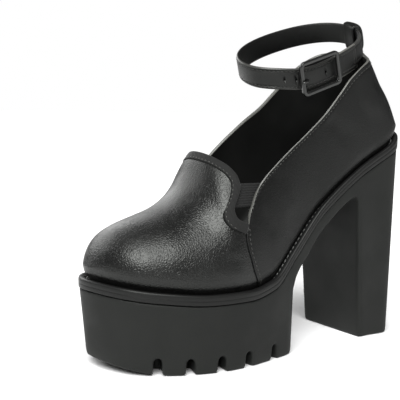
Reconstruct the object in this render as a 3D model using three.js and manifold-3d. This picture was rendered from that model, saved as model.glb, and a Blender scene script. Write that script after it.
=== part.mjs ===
// Platform court shoe with a buckled ankle strap, for the left foot.
// Millimetres, +Z up, toe towards -Y, lateral (outer) side +X. It stands on z = 0.
// Stations along the shoe are given as s, the distance back from the toe tip.

import * as THREE from 'three';
import Module from 'manifold-3d';

const wasm = await Module();
wasm.setup();

// ---------- driving dimensions ----------

const SPAN_STEPS = 4;          // ring points between two outline rows
const GAP = 0.3;               // air between pieces that touch
const WALL = 1.8;              // upper: leather and lining together
const WELT_WIDTH = 5.9;        // rim edge to the foot of the upper
const WELT_HEIGHT = 6;
const INSOLE_THICKNESS = 3;
const BULGE_HEIGHT = 7;        // where the upper is widest, above the rim
const TOE_SPRING = 7.7;        // lift of the toe tip
const SPRING_START = 43.5;     // the sole is flat behind this station
const CHAMFER = 1.8;           // soft lower edge of the lugs

// Plan outline of the rim, seen from above: distance from the centre line on each side.
const OUTLINE = table('s medial lateral', [
  [0, -10, -10],
  [4.6, -22, 9],
  [14.7, -34.5, 24.4],
  [34.3, -40.4, 36],
  [58.9, -42.6, 43.4],
  [78.5, -40.7, 45],
  [103, -35.9, 41.1],
  [132.5, -31.3, 34.6],
  [161.9, -30.6, 33.2],
  [191.3, -31, 32.4],
  [211.4, -28, 31.2],
  [220.4, -16.4, 16.4],
  [224.3, 0, 0],
]);

// Side view: rim = top of the welt, weltExtra = how much taller the welt is,
// taper = how far the foot of the sole is set in from the rim.
const SIDE = table('s rim weltExtra taper', [
  [0, 52.6, 0, 4.9],
  [29.4, 48.5, 0, 3.5],
  [58.9, 46.1, 0, 2.1],
  [83.4, 46.3, 0, 2.1],
  [103, 50, 0, 2.1],
  [122.7, 66.6, 0, 2.1],
  [147.2, 92, 0, 2.4],
  [176.6, 113.1, 0, 3.7],
  [201.2, 126.6, 0.5, 3.6],
  [215, 135.6, 2, 3.4],
  [224.3, 141.5, 2.5, 3.4],
]);

// Last: ridge = height of the instep line, ridgeX = its place across,
// bulge = how far the widest line is inside the rim, round = squareness of the section,
// lean = how much of the heel's forward lean the section takes.
const LAST = table('s ridge ridgeX bulge round lean', [
  [0, 59.6, -10, 2.6, 2, 0],
  [3.4, 67.5, -9.5, 2.6, 2, 0],
  [7.8, 74, -9, 2.8, 2, 0],
  [13.7, 79, -8, 3, 2, 0],
  [24.9, 84, -7, 3, 2.05, 0],
  [36.3, 87.6, -6.5, 3, 2.1, 0],
  [46, 91, -6, 3, 2.05, 0],
  [54, 95.2, -6, 3, 2, 0],
  [62, 102.2, -6, 3, 1.95, 0],
  [68, 111, -6, 3, 1.9, 0],
  [73, 121.5, -6, 3, 1.88, 0],
  [80, 131, -6, 3, 1.88, 0],
  [92, 144, -5, 3, 1.9, 0],
  [112, 172, -3, 3, 1.95, 0],
  [135, 200, -1, 3, 2.1, 0.07],
  [170, 228, 0, 2.4, 2.5, 0.43],
  [200, 238, 0, 2.2, 2.6, 1],
  [211, 240, 0, 2.2, 2.6, 1],
  [220.4, 242, 0, 2.2, 2.6, 0.88],
  [224.3, 242, 0, 2.2, 2.6, 0.74],
]);

// The back of the heel leans forward: forward = shift at a height above the bulge.
const HEEL_LEAN = table('s forward', [[0, 0], [13, 6.9], [28, 17.6], [42, 26.5],
  [60, 37], [100, 56]]);

// Edges of the opening in side view. The tongue's edge runs from its top down to the
// bottom of the side slot, and each quarter's top line runs from there to the heel.
const TONGUE_EDGE = [[62, 150], [71.5, 128.2], [77, 121.4], [81.7, 115.8], [84, 110], [84.1, 105.5],
  [82.4, 102], [80.2, 98.2], [78.1, 94.8], [76.9, 92], [77.4, 88.7], [79.4, 86.4]];
const SLOT_BOTTOM = [82.5, 85.1];
const LATERAL_TOPLINE = [[85.8, 87], [87.5, 91], [89.9, 94.9], [92, 98.9], [95, 103.4],
  [98.5, 107.3], [103.3, 111.9], [108.8, 116.4], [121.2, 125.8], [132.6, 134],
  [146.7, 145.8], [161, 160.8], [170, 170.6], [180, 178.8], [190, 184],
  [198, 188], [205, 190.8], [226, 191.5]];
const MEDIAL_TOPLINE = [[88.6, 90], [91.4, 104], [96, 117], [105, 127], [115, 135.5],
  [125, 143.2], [137, 151], [150, 161.4], [163, 172.4], [177, 182.6], [190, 189.4],
  [200, 190.6], [226, 191.5]];

// Space under the arch: platform back, shank underside, heel breast.
const PLATFORM_BACK = 125.6;
const SHANK_UNDERSIDE = [[126.2, 40], [130.6, 52], [137.5, 63.4], [144.8, 72.6],
  [154.1, 81.2], [164.5, 89.2], [173.5, 94.6]];
const BREAST_TOP = [178.2, 91];
const BREAST_FOOT = 184.6;

// Tread notches along each side, and one taller notch at the toe's medial corner.
const NOTCH_STATIONS = [27.5, 45.5, 64.5, 84, 106];
const NOTCH = { width: 4.6, height: 9.6, depth: 13 };
const TOE_NOTCH = { s: 6.5, width: 5.6, height: 19, depth: 9 };

// Elastic gores: a strip behind each side slot.
const GORE = { front: 79.5, back: 104, bottom: 94.2, top: 107.3, thickness: 1.2 };

// Ankle strap: a tilted oval band that hangs lower at the front and at the buckle.
const STRAP = { s: 151.2, halfLength: 46, halfWidth: 26.8, top: 193.6, pitch: 0.306,
  roll: -0.357, droop: 3, droopAt: 0.21, square: 2.185, width: 13.6, thickness: 2.2 };
const FOLD = { from: 0.274, to: 0.35, thickness: 1.5, width: 14.6 };
const BUCKLE = { at: 0.228, length: 31, height: 21.6, rise: 1, bar: 2.5, corner: 3 };
// The prong rises through a hole in the strap and bends over the toe-side bar: along, out.
const PRONG = { path: [[-16.2, 4.3], [-13.4, 4.6], [-11.2, 3.9], [-10.3, 2], [-10.3, -1.8]],
  half: 0.75, hole: 1.4 };
const LOOP = { reach: 0.026, thickness: 1.5, slack: 0.5 };
const LOOP_TAIL = { s: 197.8, bottom: 184, top: 193.6, halfWidth: 4.4 };

// ---------- helpers ----------

// Rows of numbers with named columns, each column readable as a smooth function of s.
function table(names, rows) {
  const columns = names.split(' ');
  const read = {};
  columns.forEach((name, c) => {
    read[name] = (s) => monotone(rows.map((row) => row[0]), rows.map((row) => row[c]), s);
  });
  return { rows: rows.map((row) => Object.fromEntries(columns.map((n, c) => [n, row[c]]))), read };
}

// Cubic through the points that never overshoots between them.
function monotone(at, value, x) {
  const last = at.length - 1;
  if (x <= at[0]) return value[0];
  if (x >= at[last]) return value[last];
  const step = (i) => (value[i + 1] - value[i]) / (at[i + 1] - at[i]);
  const slope = (i) => {
    if (i === 0) return step(0);
    if (i === last) return step(last - 1);
    const before = step(i - 1);
    const after = step(i);
    return before * after <= 0 ? 0 : (2 * before * after) / (before + after);
  };
  const i = at.findIndex((a) => a > x) - 1;
  const h = at[i + 1] - at[i];
  const t = (x - at[i]) / h;
  const rise = t * t * (3 - 2 * t);
  return value[i] * (1 - rise) + value[i + 1] * rise
    + h * t * (1 - t) * ((1 - t) * slope(i) - t * slope(i + 1));
}

// Closed loops of points, joined in a row (or in a ring), as one closed surface.
function loft(loops, { ring = false, caps = false } = {}) {
  const size = loops[0].length;
  const points = loops.flat();
  const faces = [];
  const last = ring ? loops.length : loops.length - 1;
  for (let k = 0; k < last; k += 1) {
    for (let j = 0; j < size; j += 1) {
      const a = k * size + j;
      const b = k * size + ((j + 1) % size);
      const shift = ((k + 1) % loops.length - k) * size;
      faces.push([a, b, b + shift], [a, b + shift, a + shift]);
    }
  }
  if (caps) {
    for (let j = 1; j < size - 1; j += 1) {
      faces.push([0, j + 1, j]);
      const e = points.length - size;
      faces.push([e, e + j, e + j + 1]);
    }
  }
  return closed(points, faces);
}

// Welds equal points, drops empty triangles and turns the faces outwards.
function closed(points, faces) {
  const ids = new Map();
  const kept = [];
  const id = points.map((p) => {
    const key = p.map((v) => Math.round(v * 1000)).join();
    if (!ids.has(key)) {
      ids.set(key, kept.length);
      kept.push(p);
    }
    return ids.get(key);
  });
  const solid = faces.map((f) => f.map((i) => id[i]))
    .filter(([a, b, c]) => a !== b && b !== c && c !== a);
  let volume = 0;
  for (const [a, b, c] of solid) {
    const [p, q, r] = [kept[a], kept[b], kept[c]].map((v) => new THREE.Vector3(...v));
    volume += p.dot(q.cross(r));
  }
  if (volume < 0) solid.forEach((f) => f.reverse());
  return new wasm.Manifold(new wasm.Mesh({
    numProp: 3,
    vertProperties: new Float32Array(kept.flat()),
    triVerts: new Uint32Array(solid.flat()),
  }));
}

// A side-view outline (s, z) as a solid from x = low to x = high.
function sideProfile(shape, low, high) {
  const geometry = new THREE.ExtrudeGeometry(shape, {
    depth: high - low, bevelEnabled: false, curveSegments: 5,
  });
  geometry.translate(0, 0, low);
  geometry.applyMatrix4(new THREE.Matrix4().makeBasis(
    new THREE.Vector3(0, 1, 0), new THREE.Vector3(0, 0, 1), new THREE.Vector3(1, 0, 0)));
  return fromGeometry(geometry);
}

function fromGeometry(geometry) {
  const flat = geometry.index ? geometry.toNonIndexed() : geometry;
  const p = flat.getAttribute('position');
  const points = [];
  const faces = [];
  for (let i = 0; i < p.count; i += 1) {
    points.push([p.getX(i), p.getY(i), p.getZ(i)]);
    if (i % 3 === 2) faces.push([i - 2, i - 1, i]);
  }
  return closed(points, faces);
}

function toMesh(name, solid, look) {
  const { vertProperties, triVerts } = solid.getMesh();
  const geometry = new THREE.BufferGeometry();
  geometry.setAttribute('position', new THREE.BufferAttribute(vertProperties, 3));
  geometry.setIndex(new THREE.BufferAttribute(triVerts, 1));
  geometry.computeVertexNormals();
  const mesh = new THREE.Mesh(geometry, new THREE.MeshStandardMaterial(look));
  mesh.name = name;
  return mesh;
}

// ---------- rim outline ----------

const HALF = OUTLINE.rows.length - 1;
const rimCurve = new THREE.CatmullRomCurve3([
  ...OUTLINE.rows.map((r) => new THREE.Vector3(r.lateral, r.s, 0)),
  ...OUTLINE.rows.slice(1, -1).reverse().map((r) => new THREE.Vector3(r.medial, r.s, 0)),
], true, 'centripetal');
const RING = 2 * HALF * SPAN_STEPS;

// Point k of the rim, moved inwards by inset: even numbers of steps on each side, so that
// point RING - k lies across from point k.
function rimPoint(k, inset) {
  const t = (((k % RING) + RING) % RING) / RING;
  const p = rimCurve.getPoint(t);
  const along = rimCurve.getTangent(t);
  return { x: p.x - along.y * inset, s: p.y + along.x * inset, station: p.y };
}

const rimTop = (s) => SIDE.read.rim(s);
const seat = (s) => rimTop(s) - WELT_HEIGHT - SIDE.read.weltExtra(s) - GAP;
const ground = (s) => TOE_SPRING * Math.max(0, 1 - s / SPRING_START) ** 2;

// Sections from toe to heel. Each is a loop across the shoe made from a column of
// (inset, height) pairs on the lateral side and its mirror on the medial side.
function sections(column) {
  const loops = [];
  for (let k = 0; k <= RING / 2; k += 1) {
    const side = (index) => {
      const station = rimPoint(index, 0).station;
      return column(station).map(([inset, z]) => {
        const p = rimPoint(index, inset);
        return [p.x, p.s, z];
      });
    };
    loops.push([...side(k), ...side(RING - k).reverse()]);
  }
  return loops;
}

// ---------- sole unit, welt, insole ----------

function soleUnit() {
  let sole = loft(sections((s) => {
    const taper = SIDE.read.taper(s);
    return [[taper + CHAMFER * 0.7, ground(s)], [taper, ground(s) + CHAMFER], [0.6, seat(s)]];
  }));
  const arch = new THREE.Shape();
  arch.moveTo(PLATFORM_BACK, -5);
  arch.lineTo(...SHANK_UNDERSIDE[0]);
  arch.splineThru(SHANK_UNDERSIDE.slice(1).map(([s, z]) => new THREE.Vector2(s, z)));
  arch.quadraticCurveTo(BREAST_TOP[0] - 0.2, 96.6, ...BREAST_TOP);
  arch.lineTo(BREAST_FOOT + 0.4, -5);
  sole = sole.subtract(sideProfile(arch, -70, 70));
  for (const s of NOTCH_STATIONS) {
    sole = sole.subtract(notch(s, 1, NOTCH)).subtract(notch(s, -1, NOTCH));
  }
  return sole.subtract(notch(TOE_NOTCH.s, -1, TOE_NOTCH));
}

// Round-topped channel that runs inwards from the edge, square to it.
function notch(s, side, { width, height, depth }) {
  let k = 0;
  while (rimPoint(k + 1, 0).station < s) k += 1;
  const from = rimPoint(k, 0).station;
  const t = k + (s - from) / (rimPoint(k + 1, 0).station - from);
  const index = side > 0 ? t : RING - t;
  const outer = rimPoint(index, -8);
  const inner = rimPoint(index, SIDE.read.taper(s) + depth);
  const arch = new THREE.Shape();
  arch.moveTo(-width * 0.6, -10);
  arch.lineTo(width * 0.6, -10);
  arch.lineTo(width / 2, height - width / 2);
  arch.absarc(0, height - width / 2, width / 2, 0, Math.PI, false);
  const run = new THREE.Vector3(inner.x - outer.x, inner.s - outer.s, 0);
  const length = run.length();
  const geometry = new THREE.ExtrudeGeometry(arch, {
    depth: length, bevelEnabled: false, curveSegments: 6,
  });
  run.normalize();
  const up = new THREE.Vector3(0, 0, 1);
  geometry.applyMatrix4(new THREE.Matrix4().makeBasis(up.clone().cross(run), up, run));
  geometry.translate(outer.x, outer.s, ground(s));
  return fromGeometry(geometry);
}

function welt() {
  const loops = [];
  for (let k = 0; k < RING; k += 1) {
    const s = rimPoint(k, 0).station;
    const top = rimTop(s);
    const foot = seat(s) + 1.5 * GAP;
    loops.push([[0.2, foot], [0, top - 1], [0.8, top], [3.2, top], [3.8, top - 2],
      [WELT_WIDTH, top - 2], [WELT_WIDTH, foot]].map(([inset, z]) => {
      const p = rimPoint(k, inset);
      return [p.x, p.s, z];
    }));
  }
  return loft(loops, { ring: true });
}

function insole() {
  const inset = WELT_WIDTH + GAP + WALL + GAP;
  return loft(sections((s) => [[inset, seat(s) + 2 * GAP],
    [inset, seat(s) + 2 * GAP + INSOLE_THICKNESS]]));
}

// ---------- upper ----------

// Section of the last at rim point k: up the side, over the instep and down again.
// wall moves it inwards, and below is how far it reaches under the feather line.
const SIDE_STEPS = 10;
function lastSection(k, wall, below) {
  const lateral = rimPoint(k, 0);
  const s = lateral.station;
  const foot = seat(s) + 1.5 * GAP;
  const wide = rimTop(s) + BULGE_HEIGHT;
  const bulge = LAST.read.bulge(s) + wall;
  const top = Math.max(LAST.read.ridge(s) - wall, wide);
  const round = LAST.read.round(s);
  const [l, m] = [rimPoint(k, bulge), rimPoint(RING - k, bulge)];
  const ridge = { x: LAST.read.ridgeX(s), s: (l.s + m.s) / 2 };
  const lean = LAST.read.lean(s);
  const arc = (p) => {
    const points = [];
    for (let j = 0; j <= SIDE_STEPS; j += 1) {
      const a = (j / SIDE_STEPS) * (Math.PI / 2);
      const out = Math.cos(a) ** (2 / round);
      const z = wide + (top - wide) * Math.sin(a) ** (2 / round);
      points.push([ridge.x + (p.x - ridge.x) * out,
        ridge.s + (p.s - ridge.s) * out - lean * HEEL_LEAN.read.forward(z - wide), z]);
    }
    return points;
  };
  const tuck = (index) => [[0, foot - below], [0, rimTop(s) - 1.7],
    [0.3, rimTop(s) + 0.6], [0.76, rimTop(s) + 3]]
    .map(([share, z]) => {
      const p = rimPoint(index, WELT_WIDTH + GAP + wall + (bulge - wall - WELT_WIDTH - GAP) * share);
      return [p.x, p.s, z];
    });
  const up = [...tuck(k), ...arc(l)];
  const down = [...tuck(RING - k), ...arc(m).slice(0, -1)].reverse();
  return [...up, ...down];
}

function last(wall, below) {
  const loops = [];
  for (let k = 0; k <= RING / 2; k += 1) loops.push(lastSection(k, wall, below));
  return loft(loops);
}

function openingAbove(topline, low, high) {
  const shape = new THREE.Shape();
  shape.moveTo(...TONGUE_EDGE[0]);
  shape.splineThru([...TONGUE_EDGE.slice(1), SLOT_BOTTOM].map(([s, z]) => new THREE.Vector2(s, z)));
  shape.splineThru(topline.map(([s, z]) => new THREE.Vector2(s, z)));
  shape.lineTo(240, 300);
  shape.lineTo(60, 300);
  return sideProfile(shape, low, high);
}

function upper() {
  const shell = last(0, 0).subtract(last(WALL, 6));
  const middle = -2;
  return shell.subtract(openingAbove(LATERAL_TOPLINE, middle, 80))
    .subtract(openingAbove(MEDIAL_TOPLINE, -80, middle));
}

// A strip of elastic just inside the upper's wall, across the side slot.
function gore(side) {
  const strip = new THREE.Shape();
  strip.moveTo(GORE.front, GORE.bottom);
  strip.lineTo(GORE.back, GORE.bottom);
  strip.lineTo(GORE.back, GORE.top);
  strip.lineTo(GORE.front, GORE.top);
  const outside = last(WALL + GAP, 0);
  const inside = last(WALL + GAP + GORE.thickness, 6);
  const [low, high] = side > 0 ? [8, 80] : [-80, -14];
  return outside.subtract(inside).intersect(sideProfile(strip, low, high));
}

// ---------- strap, buckle and loop ----------

const bandUp = new THREE.Vector3(0.1, -STRAP.pitch, 1).normalize();

// Frame of the strap at a turn from 0 (front) through 0.25 (lateral) to 0.5 (back):
// origin on the outer face at mid width, along, up and out directions.
function strapFrame(turn) {
  const place = (t) => {
    const a = t * 2 * Math.PI;
    const power = 2 / STRAP.square;
    const x = STRAP.halfWidth * Math.sign(Math.sin(a)) * Math.abs(Math.sin(a)) ** power;
    const y = -STRAP.halfLength * Math.sign(Math.cos(a)) * Math.abs(Math.cos(a)) ** power;
    const droop = STRAP.droop * Math.exp(-(((t - STRAP.droopAt) / 0.07) ** 2));
    return new THREE.Vector3(x, STRAP.s + y,
      STRAP.top + STRAP.pitch * y + STRAP.roll * x - droop);
  };
  const along = place(turn + 0.004).sub(place(turn - 0.004)).normalize();
  const out = along.clone().cross(bandUp).normalize();
  const origin = place(turn).addScaledVector(bandUp, -STRAP.width / 2);
  return { origin, along, up: bandUp, out };
}

function onStrap(frame, along, up, out) {
  return frame.origin.clone().addScaledVector(frame.along, along)
    .addScaledVector(frame.up, up).addScaledVector(frame.out, out).toArray();
}

function ankleStrap() {
  const loops = [];
  const count = 56;
  const h = STRAP.width / 2;
  for (let i = 0; i < count; i += 1) {
    const frame = strapFrame(i / count);
    loops.push([[-h + 0.5, 0], [h - 0.5, 0], [h, -0.6], [h, -STRAP.thickness + 0.5],
      [h - 0.5, -STRAP.thickness], [-h + 0.5, -STRAP.thickness],
      [-h, -STRAP.thickness + 0.5], [-h, -0.6]].map(([up, out]) => onStrap(frame, 0, up, out)));
  }
  return loft(loops, { ring: true }).subtract(prongHole());
}

// Round hole through the strap where the prong comes up.
function prongHole() {
  const frame = strapFrame(BUCKLE.at);
  const [along] = PRONG.path[PRONG.path.length - 1];
  const sides = 16;
  const ring = (out) => Array.from({ length: sides }, (_, i) => {
    const a = (i * 2 * Math.PI) / sides;
    return onStrap(frame, along + PRONG.hole * Math.cos(a), PRONG.hole * Math.sin(a), out);
  });
  return loft([ring(-2 * STRAP.thickness), ring(STRAP.thickness)], { caps: true });
}

// Doubled end of the strap on its outer face, from the heel-side bar towards the back.
function strapFold() {
  const loops = [];
  const steps = 8;
  const h = FOLD.width / 2;
  for (let i = 0; i <= steps; i += 1) {
    const frame = strapFrame(FOLD.from + ((FOLD.to - FOLD.from) * i) / steps);
    loops.push([[-h, GAP], [h, GAP], [h, GAP + FOLD.thickness], [-h, GAP + FOLD.thickness]]
      .map(([up, out]) => onStrap(frame, 0, up, out)));
  }
  return loft(loops, { caps: true });
}

// Rounded rectangle of square bar, standing on the strap's outer face.
function buckleFrame() {
  const frame = strapFrame(BUCKLE.at);
  const loops = [];
  const low = GAP + 0.5;
  const corner = (cx, cy, from) => [0, 1, 2, 3].map((i) => {
    const a = ((from + i * 30) * Math.PI) / 180;
    return [cx, cy, Math.cos(a), Math.sin(a)];
  });
  const x = BUCKLE.length / 2 - BUCKLE.corner;
  const y = BUCKLE.height / 2 - BUCKLE.corner;
  const path = [...corner(x, y, 0), ...corner(-x, y, 90), ...corner(-x, -y, 180), ...corner(x, -y, 270)];
  for (const [cx, cy, c, s] of path) {
    loops.push([[0, low], [0, low + BUCKLE.bar], [BUCKLE.bar, low + BUCKLE.bar], [BUCKLE.bar, low]]
      .map(([inset, out]) => {
        const r = BUCKLE.corner - inset;
        return onStrap(frame, cx + r * c, BUCKLE.rise + cy + r * s, out);
      }));
  }
  return loft(loops, { ring: true });
}

// Bent pin of square section, from inside its hole to over the toe-side bar.
function buckleProng() {
  const frame = strapFrame(BUCKLE.at);
  const { path, half } = PRONG;
  return loft(path.map(([along, out], i) => {
    const before = path[Math.max(i - 1, 0)];
    const after = path[Math.min(i + 1, path.length - 1)];
    const run = Math.hypot(after[0] - before[0], after[1] - before[1]);
    const [dx, dy] = [(after[0] - before[0]) / run, (after[1] - before[1]) / run];
    return [[-half, -half], [half, -half], [half, half], [-half, half]]
      .map(([up, off]) => onStrap(frame, along - off * dy, up, out + off * dx));
  }), { caps: true });
}

// Keeper that holds the strap at the back, with a tail inside the heel's back wall.
function strapLoop() {
  const tube = (grow, reach) => {
    const h = STRAP.width / 2 + LOOP.slack + grow;
    const inner = -STRAP.thickness - LOOP.slack - grow;
    const outer = LOOP.slack + grow;
    return loft([-1, -0.5, 0, 0.5, 1].map((share) => {
      const frame = strapFrame(0.5 + reach * share);
      return [[h, inner], [h, outer], [-h, outer], [-h, inner]]
        .map(([up, out]) => onStrap(frame, 0, up, out));
    }), { caps: true });
  };
  const tail = new THREE.Shape();
  tail.moveTo(LOOP_TAIL.s, LOOP_TAIL.bottom);
  tail.lineTo(LOOP_TAIL.s + LOOP.thickness, LOOP_TAIL.bottom);
  tail.lineTo(LOOP_TAIL.s + LOOP.thickness, LOOP_TAIL.top);
  tail.lineTo(LOOP_TAIL.s, LOOP_TAIL.top);
  return tube(LOOP.thickness, LOOP.reach)
    .add(sideProfile(tail, -LOOP_TAIL.halfWidth, LOOP_TAIL.halfWidth))
    .subtract(tube(0, LOOP.reach * 1.5));
}

// ---------- the shoe ----------

const leather = { color: 0x2b2b2a, roughness: 0.5, metalness: 0 };
const rubber = { color: 0x2e2f2e, roughness: 0.7, metalness: 0 };
const elastic = { color: 0x161616, roughness: 0.9, metalness: 0 };
const metal = { color: 0x121212, roughness: 0.4, metalness: 0.6 };
const lining = { color: 0x141413, roughness: 0.8, metalness: 0 };

const shoe = new THREE.Group();
shoe.add(
  toMesh('sole_unit', soleUnit(), rubber),
  toMesh('welt', welt(), rubber),
  toMesh('insole', insole(), lining),
  toMesh('upper', upper(), leather),
  toMesh('gore_lateral', gore(1), elastic),
  toMesh('gore_medial', gore(-1), elastic),
  toMesh('ankle_strap', ankleStrap(), leather),
  toMesh('strap_fold', strapFold(), leather),
  toMesh('buckle_frame', buckleFrame(), metal),
  toMesh('buckle_prong', buckleProng(), metal),
  toMesh('strap_loop', strapLoop(), leather),
);

// The origin is on the ground under the middle of the shoe's box.
const box = new THREE.Box3().setFromObject(shoe);
shoe.position.set(-(box.min.x + box.max.x) / 2, -(box.min.y + box.max.y) / 2, 0);

export default shoe;
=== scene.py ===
# %% [markdown]
# # A platform court shoe with an ankle strap
#
# The frame holds the shoe as plain solids: sole unit, welt, insole, upper, elastic gores,
# strap, buckle and loop. Every piece here is built again over its solid with the detail of
# the real one: turned edges, overlays, stitches, grain. All lengths are in millimetres, with
# s the distance back from the toe tip, and one function turns them into the frame's metres.

import math

import bmesh
import bpy
import numpy as np
from mathutils import Matrix, Vector


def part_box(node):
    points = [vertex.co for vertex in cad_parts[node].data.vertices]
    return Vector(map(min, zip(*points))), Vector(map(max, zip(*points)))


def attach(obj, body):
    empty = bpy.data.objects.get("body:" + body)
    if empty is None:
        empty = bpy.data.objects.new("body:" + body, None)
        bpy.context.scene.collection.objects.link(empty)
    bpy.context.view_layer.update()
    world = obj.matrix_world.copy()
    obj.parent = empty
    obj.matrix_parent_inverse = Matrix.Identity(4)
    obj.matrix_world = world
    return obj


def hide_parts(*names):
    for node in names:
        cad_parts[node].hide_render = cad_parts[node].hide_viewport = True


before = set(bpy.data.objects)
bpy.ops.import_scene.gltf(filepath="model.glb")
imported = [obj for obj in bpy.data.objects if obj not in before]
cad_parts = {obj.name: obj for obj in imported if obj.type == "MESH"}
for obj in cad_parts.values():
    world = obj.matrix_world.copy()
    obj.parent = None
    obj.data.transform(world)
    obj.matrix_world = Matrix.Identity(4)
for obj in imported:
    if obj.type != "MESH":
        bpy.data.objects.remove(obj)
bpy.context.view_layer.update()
MM = 0.001
print("solids:", sorted(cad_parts))

# %% [markdown]
# ## Camera
#
# A long lens from the toe's outer side and a little above the platform keeps the heel and the
# toe at nearly the same scale. A constraint could aim the camera at the shoe, but a turn, a tilt
# and a roll multiplied together leave nothing to work out later. The place is measured from the
# middle of the shoe on the floor.

# %% Camera
CAMERA = {"place": (410.08, -304.55, 149.5), "heading": 146.93, "down": 6.316, "roll": 0.685,
          "lens": 72.61, "sensor": 36}


def into_scene(name, data):
    """A new object that holds the data, linked so that Blender shows it."""
    obj = bpy.data.objects.new(name, data)
    bpy.context.scene.collection.objects.link(obj)
    return obj


def make_camera():
    data = bpy.data.cameras.new("camera")
    data.lens = CAMERA["lens"]
    data.sensor_width = CAMERA["sensor"]
    camera = into_scene("camera", data)
    turn = Matrix.Rotation(math.radians(CAMERA["heading"] - 90), 4, "Z")
    tilt = Matrix.Rotation(math.radians(90 - CAMERA["down"]), 4, "X")
    roll = Matrix.Rotation(math.radians(CAMERA["roll"]), 4, "Z")
    place = Matrix.Translation([c * MM for c in CAMERA["place"]])
    camera.matrix_world = place @ turn @ tilt @ roll
    bpy.context.scene.camera = camera
    return camera


print("camera looks along", [round(-c, 3) for c in make_camera().matrix_world.col[2][:3]])

# %% [markdown]
# ## The shoe's own sizes
#
# A shoemaker works from an outline of the sole, a side view and sections of the last. The
# tables below are those three. Curve objects could hold them too, but a table can be asked for
# a value at any place by every piece. Each row is a station along the shoe, and a column is
# read between rows as a cubic that never swings past its points, so no bump appears by itself.

# %% How tables are read


def table(names, rows):
    """Columns by name from rows of numbers."""
    return {name: [row[i] for row in rows] for i, name in enumerate(names.split())}


def smooth(at, values, x):
    """Reads values between the places at, as a cubic that never swings past them."""
    at, values = np.asarray(at, float), np.asarray(values, float)
    width = np.diff(at)
    step = np.diff(values) / width
    same = step[:-1] * step[1:] > 0
    total = np.where(same, step[:-1] + step[1:], 1)
    slope = np.concatenate([step[:1], np.where(same, 2 * step[:-1] * step[1:] / total, 0),
                            step[-1:]])
    x = np.clip(x, at[0], at[-1])
    i = np.clip(np.searchsorted(at, x, side="right") - 1, 0, len(width) - 1)
    t = (x - at[i]) / width[i]
    rise = t * t * (3 - 2 * t)
    bend = (1 - t) * slope[i] - t * slope[i + 1]
    return values[i] * (1 - rise) + values[i + 1] * rise + width[i] * t * (1 - t) * bend


def column(rows, name, s):
    return smooth(rows["s"], rows[name], s)


print("halfway up a smooth step:", smooth([0, 1, 2, 3], [0, 0, 1, 1], 1.5))

# %% Tables of the sole, the side view and the last
OUTLINE = table("s medial lateral", [
    (0, -10, -10), (4.6, -22, 9), (14.7, -34.5, 24.4), (34.3, -40.4, 36), (58.9, -42.6, 43.4),
    (78.5, -40.7, 45), (103, -35.9, 41.1), (132.5, -31.3, 34.6), (161.9, -30.6, 33.2),
    (191.3, -31, 32.4), (211.4, -28, 31.2), (220.4, -16.4, 16.4), (224.3, 0, 0)])

SIDE = table("s rim welt_extra taper", [
    (0, 52.6, 0, 4.9), (29.4, 48.5, 0, 3.5), (58.9, 46.1, 0, 2.1), (83.4, 46.3, 0, 2.1),
    (103, 50, 0, 2.1), (122.7, 66.6, 0, 2.1), (147.2, 92, 0, 2.4), (176.6, 113.1, 0, 3.7),
    (201.2, 126.6, .5, 3.6), (215, 135.6, 2, 3.4), (224.3, 141.5, 2.5, 3.4)])

LAST = table("s ridge ridge_x bulge round lean", [
    (0, 59.6, -10, 2.6, 2, 0), (3.4, 67.5, -9.5, 2.6, 2, 0), (7.8, 74, -9, 2.8, 2, 0),
    (13.7, 79, -8, 3, 2, 0), (24.9, 84, -7, 3, 2.05, 0), (36.3, 87.6, -6.5, 3, 2.1, 0),
    (46, 91, -6, 3, 2.05, 0), (54, 95.2, -6, 3, 2, 0), (62, 102.2, -6, 3, 1.95, 0),
    (68, 111, -6, 3, 1.9, 0), (73, 121.5, -6, 3, 1.88, 0), (80, 131, -6, 3, 1.88, 0),
    (92, 144, -5, 3, 1.9, 0), (112, 172, -3, 3, 1.95, 0), (135, 200, -1, 3, 2.1, .07),
    (170, 228, 0, 2.4, 2.5, .43), (200, 238, 0, 2.2, 2.6, 1), (211, 240, 0, 2.2, 2.6, 1),
    (220.4, 242, 0, 2.2, 2.6, .88), (224.3, 242, 0, 2.2, 2.6, .74)])

HEEL_LEAN = table("s forward", [(0, 0), (13, 6.9), (28, 17.6), (42, 26.5), (60, 37), (100, 56)])
print(len(OUTLINE["s"]), "outline rows,", len(LAST["s"]), "last rows")

# %% [markdown]
# ## Rim curve
#
# The rim is the top edge of the welt seen from above: a closed Catmull-Rom curve through the
# outline rows, spaced by the square root of the chord so that it can't loop where rows crowd
# at toe and heel. A Bezier curve object would look the same, but its handles would have to be
# set by hand. Place k counts rows: 0 at the toe, then the outer side, 12 at the heel, and -k
# lies straight across from k.

# %% Rim curve
HALF = len(OUTLINE["s"]) - 1
RIM = np.array(list(zip(OUTLINE["lateral"], OUTLINE["s"]))
               + list(zip(OUTLINE["medial"], OUTLINE["s"]))[-2:0:-1], float)


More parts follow.
